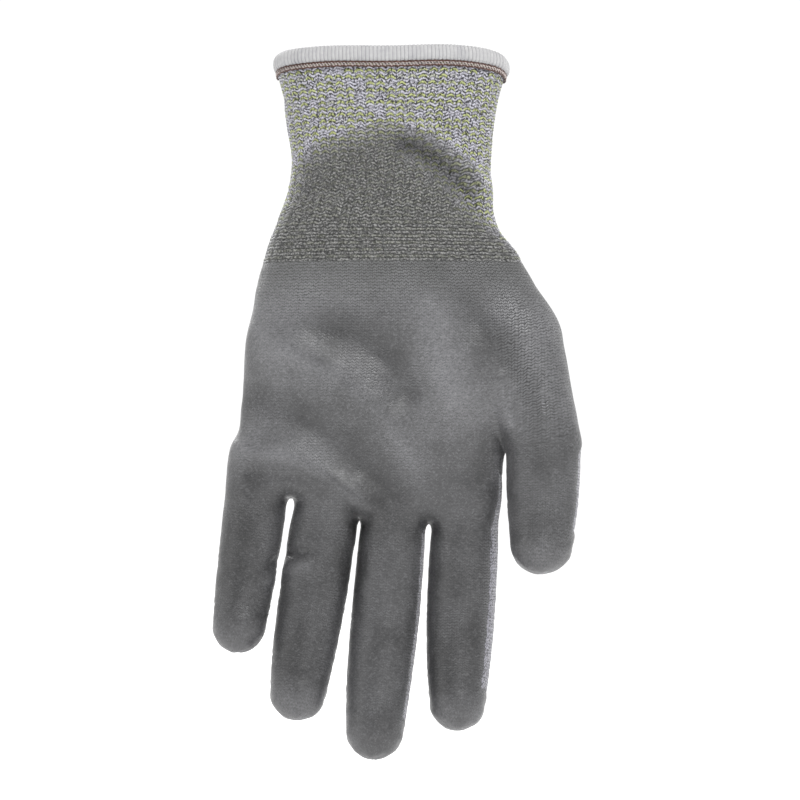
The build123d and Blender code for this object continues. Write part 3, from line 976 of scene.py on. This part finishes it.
def rib_lining(materials):
    """The inside face of the cuff, where the rows of loops lie flatter."""
    columns = RIBS * 6
    downs = np.arange(HEM_HEIGHT * 0.5, SEAM + 6, 0.8)
    vertices, faces, part, down = cuff_grid(columns, downs)
    normals = vertex_normals(vertices, faces)
    ridge = 0.2 * np.cos(part * RIBS * 2 * pi) + 0.1 * np.cos(2 * pi * down / (2 * RIB_COURSE))
    vertices = vertices - normals * (1.25 + ridge)[:, None]
    faces = faces[:, ::-1]
    uv = np.stack([unwrapped((part * RIBS)[faces], RIBS), (down / RIB_COURSE)[faces]], axis=2)
    floats = {"film": np.full(len(vertices), -9.0), "fold": np.zeros(len(vertices))}
    return new_object("rib_knit_inside", vertices, faces, materials["rib_knit"], None, uv, floats)


ELASTIC_ROWS = 4  # an elastic thread is laid into every so many rows
# Each set of elastic threads: its name, the node it stands for, its first and last depth
ELASTICS = (
    ("elastic_threads_upper", "cuff_elastic", 9.0, 33.0),
    ("elastic_threads_lower", "wrist_elastic", 56.0, 70.0),
)


def elastic_pieces(materials):
    """The covered elastic threads, each laid flat against the inside of the rib."""
    for name, nodes, first, last in ELASTICS:
        rings = []
        for down in np.arange(first, last, ELASTIC_ROWS * RIB_COURSE):
            rings.append(thread_round(down, lift=-1.55, radius=0.34, turns=90, wave=0.16))
        piece = joined(name, rings, materials["elastic"])
        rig.replaces(piece, nodes)
        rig.slot(piece, "elastic_thread")
        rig.blend(piece, "cuff", "palm", WRIST_START, WRIST_END)


def surface_round(down, samples, lift):
    """Points evenly round the cuff at a depth down, lift outside its plain shape, and the
    outward and downward directions there."""
    part = np.arange(samples) / samples
    down = np.broadcast_to(down, samples)
    middle = cuff_point(part, down)
    nearby = cuff_point(part, down + 0.5)
    ahead = cuff_point(part + 0.5 / samples, down)
    below = unit(nearby - middle)
    round_way = unit(ahead - middle)
    outward = unit(np.cross(below, round_way))
    outward *= np.sign(np.sum(outward * middle * [1, 1, 0], axis=1))[:, None]
    return middle + outward * (lift + slack(middle, outward)[:, None]), outward, below


def tube_faces(samples, sides):
    """Faces of a closed tube, and the sample and the side that each starts from."""
    i, j = np.meshgrid(np.arange(samples), np.arange(sides), indexing="ij")
    i, j = i.ravel(), j.ravel()
    k, m = (i + 1) % samples, (j + 1) % sides
    return np.stack([i * sides + j, k * sides + j, k * sides + m, i * sides + m], axis=1), i, j


def thread_round(down, lift, radius, turns, wave, samples=900, sides=7, phase=0.0, out_wave=0.0):
    """A thread right round the cuff, which waves up and down as it goes."""
    part = np.arange(samples) / samples
    swing = wave * np.sin(2 * pi * turns * part + phase)
    centre, outward, below = surface_round(down, samples, lift)
    centre = centre + below * swing[:, None]
    centre = centre + outward * (out_wave * np.cos(2 * pi * turns * part + phase))[:, None]
    turn = np.linspace(0, 2 * pi, sides, endpoint=False)
    ring = outward[:, None] * np.cos(turn)[None, :, None] + below[:, None] * np.sin(turn)[None, :, None]
    vertices = (centre[:, None] + ring * radius).reshape(-1, 3)
    return vertices, tube_faces(samples, sides)[0]


def joined(name, parts, material):
    vertices, faces, start = [], [], 0
    for v, f in parts:
        vertices.append(v)
        faces.append(f + start)
        start += len(v)
    return new_object(name, np.concatenate(vertices), np.concatenate(faces), material)


def hem_piece(materials):
    """The overlocked edge: a soft roll, wrapped side by side in white thread."""
    wraps, per_wrap, sides = 142, 7, 26
    samples = wraps * per_wrap
    part = np.arange(samples) / samples
    turn = np.linspace(0, 2 * pi, sides, endpoint=False)
    pitch = np.abs(np.sin(pi * part * wraps + 0.35 * np.sin(2 * pi * part * 17)))
    thread = 0.5 + 0.5 * pitch
    loose = 1 + 0.10 * np.sin(2 * pi * part * 9) + 0.05 * np.sin(2 * pi * part * 31 + 2)
    centre, outward, below = surface_round(HEM_HEIGHT * 0.46, samples, 0.1)
    half_height, half_wall = HEM_HEIGHT / 2 * 0.98, 1.85
    c = np.sign(np.cos(turn)) * np.abs(np.cos(turn)) ** 0.9
    s = np.sign(np.sin(turn)) * np.abs(np.sin(turn)) ** 0.85
    ridge = (thread - 1) * 0.5
    out = (half_wall * loose)[:, None] * c[None] + ridge[:, None] * c[None]
    down = half_height * s[None] + (ridge * 0.9)[:, None] * s[None]
    vertices = centre[:, None] + outward[:, None] * out[..., None] + below[:, None] * down[..., None]
    faces, i, j = tube_faces(samples, sides)
    corner_u = np.stack([part[i] * wraps, part[i] * wraps + 1 / per_wrap] * 2, axis=1)[:, [0, 1, 3, 2]]
    corner_v = np.stack([j, j, j + 1, j + 1], axis=1) / sides
    uv = np.stack([corner_u, corner_v], axis=2)
    piece = new_object("hem_roll", vertices.reshape(-1, 3), faces, materials["hem"], None, uv)
    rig.replaces(piece, "hem_overlock")
    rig.slot(piece, "hem_thread")
    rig.ride(piece, "cuff")


def stitch_pieces(materials):
    """Two brown threads under the hem, and the pale loops that cross between them."""
    first, gap = HEM_HEIGHT - 0.1, 1.4
    brown = [
        thread_round(
            first + k * gap, 0.74 - 0.08 * k, 0.30, 84, 0.10, phase=1.2 * k, out_wave=0.10, samples=1180
        )
        for k in (0, 1)
    ]
    chain = joined("hem_brown_threads", brown, materials["brown"])
    crossing = [
        thread_round(first + gap / 2, 0.50, 0.28, 84, 0.52, phase=0.4 + k * pi, out_wave=0.30, samples=2100)
        for k in (0, 1)
    ]
    loops = joined("hem_pale_loops", crossing, materials["loops"])
    for piece, slot in ((chain, "brown_thread"), (loops, "hem_thread")):
        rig.replaces(piece, "hem_stitching")
        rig.slot(piece, slot)
        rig.ride(piece, "cuff")


# ---------------------------------------------------------------- materials


class Look:
    """A material's nodes, made by short calls. A socket takes a number, a colour as it looks on a
    screen, from 0 to 255, or a link."""

    def __init__(self, name):
        self.material = bpy.data.materials.new(name)
        self.material.use_nodes = True
        self.tree = self.material.node_tree
        self.shader = self.tree.nodes["Principled BSDF"]

    def node(self, kind, **sockets):
        made = self.tree.nodes.new(f"ShaderNode{kind}")
        self.fill(made, sockets)
        return made

    def fill(self, made, sockets):
        for key, value in sockets.items():
            numbered = key[0] == "i" and key[1:].isdigit()
            socket = made.inputs[int(key[1:]) if numbered else key.replace("_", " ")]
            if isinstance(value, bpy.types.NodeSocket):
                self.tree.links.new(value, socket)
            elif socket.type == "RGBA" and not np.ndim(value):
                socket.default_value = (value, value, value, 1)
            elif socket.type == "RGBA":
                socket.default_value = (*srgb(value), 1)
            else:
                socket.default_value = value

    def math(self, what, a, b=0.0, c=0.0, clamp=False):
        made = self.tree.nodes.new("ShaderNodeMath")
        made.operation, made.use_clamp = what, clamp
        self.fill(made, {"i0": a, "i1": b} | ({"i2": c} if len(made.inputs) > 2 else {}))
        return made.outputs[0]

    def times(self, a, b):
        return self.math("MULTIPLY", a, b)

    def from_middle(self, place):
        """How far a place is from the middle between two whole numbers."""
        return self.math("ABSOLUTE", self.math("SUBTRACT", self.math("FRACT", place), 0.5))

    def ramp(self, value, low, high, to_low=0.0, to_high=1.0):
        made = self.tree.nodes.new("ShaderNodeMapRange")
        made.interpolation_type = "SMOOTHSTEP"
        self.fill(made, {"i0": value, "i1": low, "i2": high, "i3": to_low, "i4": to_high})
        return made.outputs[0]

    def mix(self, amount, a, b):
        made = self.tree.nodes.new("ShaderNodeMix")
        made.data_type = "RGBA"
        made.clamp_factor = True
        self.fill(made, {"i0": amount, "i6": a, "i7": b})
        return made.outputs[2]

    def noise(self, scale, where=None, detail=2.0, rough=0.5):
        made = self.node("TexNoise", Scale=scale, Detail=detail, Roughness=rough)
        if where is not None:
            self.tree.links.new(where, made.inputs["Vector"])
        return made.outputs["Fac"]

    def attribute(self, name):
        made = self.tree.nodes.new("ShaderNodeAttribute")
        made.attribute_name = name
        return made.outputs["Fac"]

    def knit_place(self):
        """The stitch column and row, as two numbers."""
        uv = self.tree.nodes.new("ShaderNodeUVMap")
        uv.uv_map = "Knit"
        apart = self.node("SeparateXYZ", Vector=uv.outputs[0])
        return apart.outputs[0], apart.outputs[1]

    def solid_place(self):
        """A point of the object, in metres."""
        return self.tree.nodes.new("ShaderNodeTexCoord").outputs["Object"]

    def cell(self, x, y, seed):
        """A random number from 0 to 1 for each whole-number place."""
        place = self.node("CombineXYZ", i0=self.math("FLOOR", x), i1=self.math("FLOOR", y), i2=seed)
        made = self.tree.nodes.new("ShaderNodeTexWhiteNoise")
        self.tree.links.new(place.outputs[0], made.inputs["Vector"])
        return made.outputs["Value"]

    def bump(self, height, distance, strength=1.0, under=None):
        made = self.node("Bump", Height=height, Distance=distance, Strength=strength)
        if under is not None:
            self.tree.links.new(under, made.inputs["Normal"])
        return made.outputs[0]


def srgb(levels):
    """A colour given as 0 to 255 on a screen, in linear light."""
    c = np.array(levels) / 255
    return tuple(float(v) for v in np.where(c <= 0.04045, c / 12.92, ((c + 0.055) / 1.055) ** 2.4))


def stitch_height(look, column, row, unevenness):
    """Plain knit, from 0 to 1: two slanting legs in each column. Rows wander by unevenness."""
    across = look.from_middle(column)
    off = look.times(look.math("SUBTRACT", across, 0.25), 4.0)
    leg = look.math("SUBTRACT", 1.0, look.times(off, off))
    leg = look.math("SQRT", look.math("MAXIMUM", leg, 0.0))
    wander = look.noise(420.0, look.solid_place(), 2.0, 0.7)
    wander = look.math("MULTIPLY_ADD", wander, unevenness, -0.5 * unevenness)
    slanted = look.math("ADD", look.math("MULTIPLY_ADD", across, 0.95, row), wander)
    return look.times(look.math("MULTIPLY_ADD", leg, 0.35, 0.65), arc(look, slanted)), slanted


def arc(look, place):
    """A row of round humps, one to each whole number, from 0 to 1."""
    hump = look.math("MULTIPLY_ADD", look.math("FRACT", place), 2.0, -1.0)
    hump = look.math("SUBTRACT", 1.0, look.times(hump, hump))
    return look.math("SQRT", look.math("MAXIMUM", hump, 0.0))


def flecks(look, across, row, amount, seed, stretch=(1.0, 1.0)):
    """Where the dark yarn of the twist comes up: short dashes along the rows."""
    scaled = (look.times(value, by) for value, by in zip((across, row), stretch))
    place = look.node("CombineXYZ", **dict(zip(("i0", "i1"), scaled)), i2=seed)
    dashes = look.noise(1.0, place.outputs[0], 2.0, 0.6)
    single = look.cell(look.times(across, 2.0), row, seed)
    level = look.math("MULTIPLY_ADD", single, 0.16, dashes)
    return look.ramp(level, 0.58 + 0.2 * (0.5 - amount), 0.66 + 0.2 * (0.5 - amount))


def rib_yarn(look, rib, row):
    """Colour and height of the rib's rows of yarn, which turn green in every second row."""
    place = look.solid_place()
    wave = look.math("COSINE", look.times(rib, 2 * pi))
    wander = look.math("MULTIPLY_ADD", look.noise(420.0, place, 1.0), 0.5, -0.25)
    wave = look.times(wave, look.ramp(row, *ARCH_ENDS, -ARCH, -0.25 * ARCH))
    arched = look.math("ADD", look.math("ADD", wave, row), wander)
    yarn = arc(look, arched)
    crown = look.ramp(look.from_middle(rib), 0.30, 0.5, 1.0, 0.0)
    tint = look.noise(900.0, place, 3.0, 0.6)
    pale = look.mix(tint, (128, 127, 137), (204, 203, 213))
    green = look.mix(tint, (122, 130, 68), (184, 192, 120))
    odd = look.math("GREATER_THAN", look.math("FRACT", look.times(arched, 0.5)), 0.5)
    patchy = look.cell(look.times(rib, 1.0), arched, 4.0)
    is_green = look.times(odd, look.ramp(patchy, 0.15, 0.3, 0.0, 0.85))
    is_green = look.times(is_green, look.ramp(crown, 0.2, 0.7, 0.06, 1.0))
    colour = look.mix(is_green, pale, green)
    dark = flecks(look, look.times(rib, 4.6), look.times(arched, 1.7), 0.52, 3.0)
    # dark: the dark yarn of the twist, and painted shade in the holes between ribs and rows
    dark = look.math("MAXIMUM", look.times(dark, 0.92), look.times(hole_shade(look, crown, yarn), 0.85))
    return colour, dark, yarn, arched, is_green, tint


def hole_shade(look, crown, yarn):
    """Painted shade in the holes between two ribs and two rows."""
    deep = look.times(look.math("SUBTRACT", 1.0, crown), look.ramp(yarn, 0.35, 0.85, 1.0, 0.0))
    return look.ramp(deep, 0.10, 0.42)


def finish(look, colour, roughness, normal, sheen, specular, sheen_roughness=0.5):
    look.fill(look.shader, {
        "Base Color": colour,
        "Roughness": roughness,
        "Normal": normal,
        "Sheen Weight": sheen,
        "Sheen Roughness": sheen_roughness,
        "Specular IOR Level": specular,
    })
    return look.material


def rib_knit_material():
    look = Look("heather_rib_knit")
    rib, row = look.knit_place()
    colour, dark, yarn, _, _, tint = rib_yarn(look, rib, row)
    # The dark yarn of the twist, and painted shade in the holes.
    colour = look.mix(dark, colour, (15, 15, 18))
    # Painted shade between the rows of yarn.
    colour = look.mix(look.ramp(yarn, 0.15, 0.82, 0.95, 0.0), colour, (22, 22, 25))
    # Painted shadow in the hollows of the cuff's folds.
    colour = look.mix(look.ramp(look.attribute("fold"), -3.4, -0.2, 0.38, 0.0), colour, (34, 34, 34))
    fibre = look.noise(2400.0, look.solid_place(), 2.0, 0.7)
    under = look.bump(yarn, 0.00040)
    normal = look.bump(fibre, 0.00010, 0.6, under)
    return finish(look, colour, look.ramp(tint, 0.3, 0.7, 0.75, 0.92), normal, 0.6, 0.25, 0.35)


def rib_film_material():
    """Film soaked into the rib: the yarn's colours sink in it away from its edge."""
    look = Look("grey_film_on_rib")
    rib, row = look.knit_place()
    colour, dark, yarn, arched, is_green, tint = rib_yarn(look, rib, row)
    edge = look.attribute("film")
    place = look.solid_place()
    sunk = look.ramp(edge, 0.0, 9.0)
    along_rows = look.node("CombineXYZ", i0=look.times(rib, 2.6), i1=look.times(arched, 1.0), i2=9.0)
    grain = look.noise(2.2, along_rows.outputs[0], 3.0, 0.65)
    grey = look.mix(look.ramp(grain, 0.40, 0.60), (52, 52, 51), (128, 128, 126))
    grey = look.mix(look.times(is_green, 0.14), grey, (104, 107, 82))
    colour = look.mix(look.math("MULTIPLY_ADD", sunk, 0.50, 0.48), colour, grey)
    # Painted shadow in the hollows of the cuff's folds.
    colour = look.mix(look.ramp(look.attribute("fold"), -3.4, -0.2, 0.38, 0.0), colour, (34, 34, 34))
    # The dark yarn of the twist and painted shade in the holes, fainter deep in the film.
    dark = look.times(dark, look.math("MULTIPLY_ADD", sunk, -0.12, 0.92))
    colour = look.mix(dark, colour, (16, 16, 16))
    # Painted shade between the rows of yarn.
    colour = look.mix(look.ramp(yarn, 0.15, 0.85, 0.95, 0.0), colour, (22, 22, 22))
    fine = look.noise(1500.0, place, 3.0, 0.65)
    under = look.bump(yarn, 0.00040)
    normal = look.bump(fine, 0.00008, 0.6, under)
    return finish(look, colour, look.ramp(tint, 0.3, 0.8, 0.5, 0.72), normal, 0.3, 0.4, 0.35)


def hand_knit_material():
    look = Look("heather_knit")
    column, row = look.knit_place()
    height, slanted = stitch_height(look, column, row, 0.7)
    place = look.solid_place()
    tint = look.noise(900.0, place, 3.0, 0.6)
    colour = look.mix(tint, (104, 103, 111), (160, 159, 168))
    dark = flecks(look, look.times(column, 1.5), look.times(slanted, 1.4), 0.5, 3.0)
    colour = look.mix(look.times(dark, 0.9), colour, (32, 32, 36))
    # Painted shade between the stitches' legs and rows.
    colour = look.mix(look.ramp(height, 0.1, 0.7, 0.6, 0.0), colour, (30, 30, 33))
    fibre = look.noise(2400.0, place, 2.0, 0.7)
    under = look.bump(height, 0.00030)
    normal = look.bump(fibre, 0.00010, 0.6, under)
    return finish(look, colour, look.ramp(tint, 0.3, 0.7, 0.75, 0.92), normal, 0.6, 0.25, 0.35)


PALM_GREY, FINGER_GREY = (73, 73, 74), (47, 47, 47)


def hand_film_material():
    """The dipped polyurethane: a thin grey film through which the knit's rows show, clearly near
    the wrist and at the film's edge, hardly at the fingertips."""
    look = Look("grey_film")
    column, row = look.knit_place()
    height, slanted = stitch_height(look, column, row, 1.5)
    edge, thin, tone = (look.attribute(n) for n in ("film", "thin", "tone"))
    place = look.solid_place()
    cloud, mottle = look.noise(38.0, place, 3.0), look.noise(210.0, place, 3.0, 0.6)
    patch = look.noise(75.0, place, 2.0)
    grey = look.mix(tone, PALM_GREY, FINGER_GREY)
    grey = look.mix(look.times(look.attribute("seam"), 0.85), grey, (56, 57, 53))
    fold = look.attribute("fold")
    # Painted shade in the hollows of the folds.
    grey = look.mix(look.ramp(fold, -2.6, 0.3, 0.60, 0.0), grey, (40, 40, 40))
    # Painted highlight on the ridges of the folds.
    grey = look.mix(look.ramp(fold, 0.3, 2.2, 0.0, 0.14), grey, (150, 150, 154))
    # Painted rim light: the film paler towards each fingertip.
    worn = look.ramp(look.attribute("worn"), 0.0, 1.0, 0.0, 0.14)
    grey = look.mix(worn, grey, (150, 149, 152))
    dimmer, brighter = look.mix(0.80, (30, 30, 30), grey), look.mix(0.92, (215, 215, 220), grey)
    grey = look.mix(look.ramp(cloud, 0.3, 0.72), dimmer, brighter)
    grey = look.mix(look.ramp(mottle, 0.3, 0.75), look.mix(0.90, (30, 30, 30), grey), grey)
    near_edge = look.ramp(edge, 0.5, 5.0, 1.0, 0.0)
    shows = look.math("MAXIMUM", look.times(thin, 0.75), look.times(near_edge, 0.65))
    shows = look.math("MULTIPLY_ADD", shows, 0.8, look.ramp(patch, 0.35, 0.75, 0.08, 0.32))
    dark = flecks(look, look.times(column, 1.3), look.times(slanted, 1.5), 0.5, 3.0)
    seam = look.ramp(height, 0.15, 0.75, 1.0, 0.0)
    along_rows = look.node("CombineXYZ", i0=look.times(column, 1.1), i1=look.times(slanted, 1.3), i2=6.0)
    grain = look.noise(1.6, along_rows.outputs[0], 3.0, 0.7)
    broken = look.times(seam, look.ramp(grain, 0.38, 0.6))
    # Painted shade in the gaps between stitches, with the dark yarn of the twist, where the knit shows.
    gap = look.math("MULTIPLY_ADD", broken, 0.45, look.times(dark, 0.85), clamp=True)
    gap = look.times(gap, shows)
    colour = look.mix(look.times(gap, 0.9), grey, (26, 26, 28))
    specks = look.ramp(grain, 0.34, 0.52, look.math("MULTIPLY_ADD", shows, 0.35, 0.32), 0.0)
    colour = look.mix(specks, colour, (28, 28, 29))
    colour = look.mix(look.ramp(grain, 0.50, 0.68, 0.0, 0.15), colour, (172, 172, 176))
    crest = look.times(look.ramp(height, 0.55, 0.95), look.times(shows, 0.55))
    colour = look.mix(crest, colour, (146, 146, 149))
    colour = look.mix(look.times(tone, 0.30), colour, (22, 22, 23))
    colour = look.mix(look.times(look.attribute("seam"), 0.36), colour, (34, 35, 31))
    # Painted shade in bands along the palm's folds, and a darker thumb mound.
    colour = look.mix(look.times(look.attribute("shade"), 0.34), colour, (32, 32, 32))
    fine = look.noise(1100.0, place, 3.0, 0.65)
    under = look.bump(look.times(height, shows), 0.00028)
    under = look.bump(mottle, 0.0006, 0.4, under)
    normal = look.bump(fine, 0.00007, 0.5, under)
    return finish(look, colour, look.ramp(mottle, 0.25, 0.8, 0.36, 0.58), normal, 0.25, 0.5, 0.3)


def thread_material(name, dark, pale, fleck, roughness):
    """Twisted thread with uneven dye and loose fibres."""
    look = Look(name)
    place = look.solid_place()
    tint, fleck_noise = look.noise(900.0, place, 3.0, 0.6), look.noise(420.0, place, 2.0)
    colour = look.mix(tint, dark, pale)
    colour = look.mix(look.ramp(fleck_noise, 0.62, 0.72, 0.0, 0.5), colour, fleck)
    twist = look.noise(1800.0, place, 3.0, 0.7)
    rough = look.ramp(tint, 0.2, 0.8, roughness - 0.12, roughness + 0.1)
    return finish(look, colour, rough, look.bump(twist, 0.0001, 0.8), 0.2, 0.3)


def hem_material():
    """White overlock thread with grey patches, its wraps painted darker where they meet, as painted shade."""
    look = Look("hem_overlock_thread")
    column, _ = look.knit_place()
    place = look.solid_place()
    wrap = look.from_middle(column)
    wrap_shade = look.ramp(wrap, 0.34, 0.5)
    tint = look.noise(800.0, place, 3.0, 0.6)
    patch = look.noise(150.0, place, 2.0)
    colour = look.mix(tint, (148, 147, 150), (178, 178, 177))
    colour = look.mix(look.ramp(patch, 0.5, 0.75, 0.0, 0.35), colour, (130, 130, 136))
    # Painted shade where the wraps meet.
    colour = look.mix(look.times(wrap_shade, 0.55), colour, (96, 95, 100))
    fibre = look.noise(2000.0, place, 3.0, 0.7)
    rough = look.ramp(tint, 0.2, 0.8, 0.65, 0.88)
    return finish(look, colour, rough, look.bump(fibre, 0.00012, 0.8), 0.25, 0.3)


def floor_material():
    look = Look("pale_floor")
    place = look.solid_place()
    cloud = look.noise(3.0, place, 3.0)
    look.fill(look.shader, {
        "Base Color": look.mix(cloud, (240, 240, 240), (247, 247, 247)),
        "Roughness": look.ramp(cloud, 0.2, 0.8, 0.8, 0.95),
        "Specular IOR Level": 0.1,
        "Emission Color": 1.0,
        "Emission Strength": 0.4,
    })
    return look.material


# ---------------------------------------------------------------- stage

VIEW_ACROSS = 0.2753  # metres that the picture takes in at the glove
LENS, SENSOR = 100.0, 36.0


def area_light(name, place, aim, size, power):
    light = bpy.data.lights.new(name, "AREA")
    light.shape, light.size, light.size_y = "RECTANGLE", *size
    light.energy = power
    lamp = bpy.data.objects.new(name, light)
    lamp.location = place
    way = Vector(aim) - Vector(place)
    lamp.rotation_euler = way.to_track_quat("-Z", "Y").to_euler()
    bpy.context.scene.collection.objects.link(lamp)


ROOM, WALL = 0.46, 1.06  # brightness on the side of the palm, and behind the glove


def studio_world():
    """A white wall behind the glove, and a dimmer room on the side of its palm."""
    world = bpy.data.worlds.new("studio")
    world.use_nodes = True
    nodes, links = world.node_tree.nodes, world.node_tree.links
    place = nodes.new("ShaderNodeTexCoord")
    apart = nodes.new("ShaderNodeSeparateXYZ")
    bright = nodes.new("ShaderNodeMapRange")
    bright.interpolation_type = "SMOOTHSTEP"
    for socket, value in zip(list(bright.inputs)[1:5], (-0.55, 0.45, ROOM, WALL)):
        socket.default_value = value
    links.new(place.outputs["Generated"], apart.inputs[0])
    links.new(apart.outputs[1], bright.inputs[0])
    background = nodes["Background"]
    background.inputs["Color"].default_value = (1, 1, 1, 1)
    links.new(bright.outputs[0], background.inputs["Strength"])
    return world


FLOOR_GAP = 0.055  # metres from the fingertips down to the floor
# Each light: its place, the length of its sides in metres, its power in watts
LIGHTS = (
    ("key", (0.28, -0.60, 0.50), 0.3, 6.8),
    ("fill", (-0.95, -0.4, 0.1), 0.8, 2.6),
    ("back_key", (-0.55, 0.75, 0.45), 0.5, 4.5),
)


def make_stage():
    scene = bpy.context.scene
    floor_z = cad_bounds[0][2] - FLOOR_GAP
    bpy.ops.mesh.primitive_grid_add(x_subdivisions=8, y_subdivisions=8, size=14, location=(0, 0, floor_z))
    floor = bpy.context.object
    floor.name = "floor"
    floor.data.materials.append(floor_material())
    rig.stage(floor)

    scene.world = studio_world()
    scene.view_settings.view_transform = "Standard"

    middle = (0.003, 0, -0.12)
    for name, place, side, power in LIGHTS:
        area_light(name, place, middle, (side, side), power)

    lens = bpy.data.cameras.new("camera")
    lens.lens, lens.sensor_width = LENS, SENSOR
    camera = bpy.data.objects.new("camera", lens)
    camera.location = (0.0034, -VIEW_ACROSS * LENS / SENSOR, -0.1223)
    camera.rotation_euler = (pi / 2, 0, 0)
    scene.collection.objects.link(camera)
    scene.camera = camera


# ---------------------------------------------------------------- everything

# Each thread: its dark and pale colours, the colour of its flecks, how rough it is
THREADS = {
    "brown": ("brown_stitch_thread", (44, 26, 20), (84, 54, 44), (126, 96, 86), 0.75),
    "loops": ("pale_stitch_loops", (150, 138, 134), (206, 196, 192), (100, 74, 66), 0.75),
    "elastic": ("pale_elastic", (196, 196, 190), (228, 228, 222), (160, 160, 160), 0.6),
}
materials = {
    "hand_knit": hand_knit_material(),
    "rib_knit": rib_knit_material(),
    "hand_film": hand_film_material(),
    "rib_film": rib_film_material(),
    "hem": hem_material(),
}
for key, (name, dark, pale, fleck, roughness) in THREADS.items():
    materials[key] = thread_material(name, dark, pale, fleck, roughness)
make_stage()
hand_pieces(materials)
rib_pieces(materials)
elastic_pieces(materials)
hem_piece(materials)
stitch_pieces(materials)

with open("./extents.json", "w") as out:
    json.dump({"cad": cad_bounds, "visual": [[float(c) for c in corner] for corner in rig.bounds()]}, out)
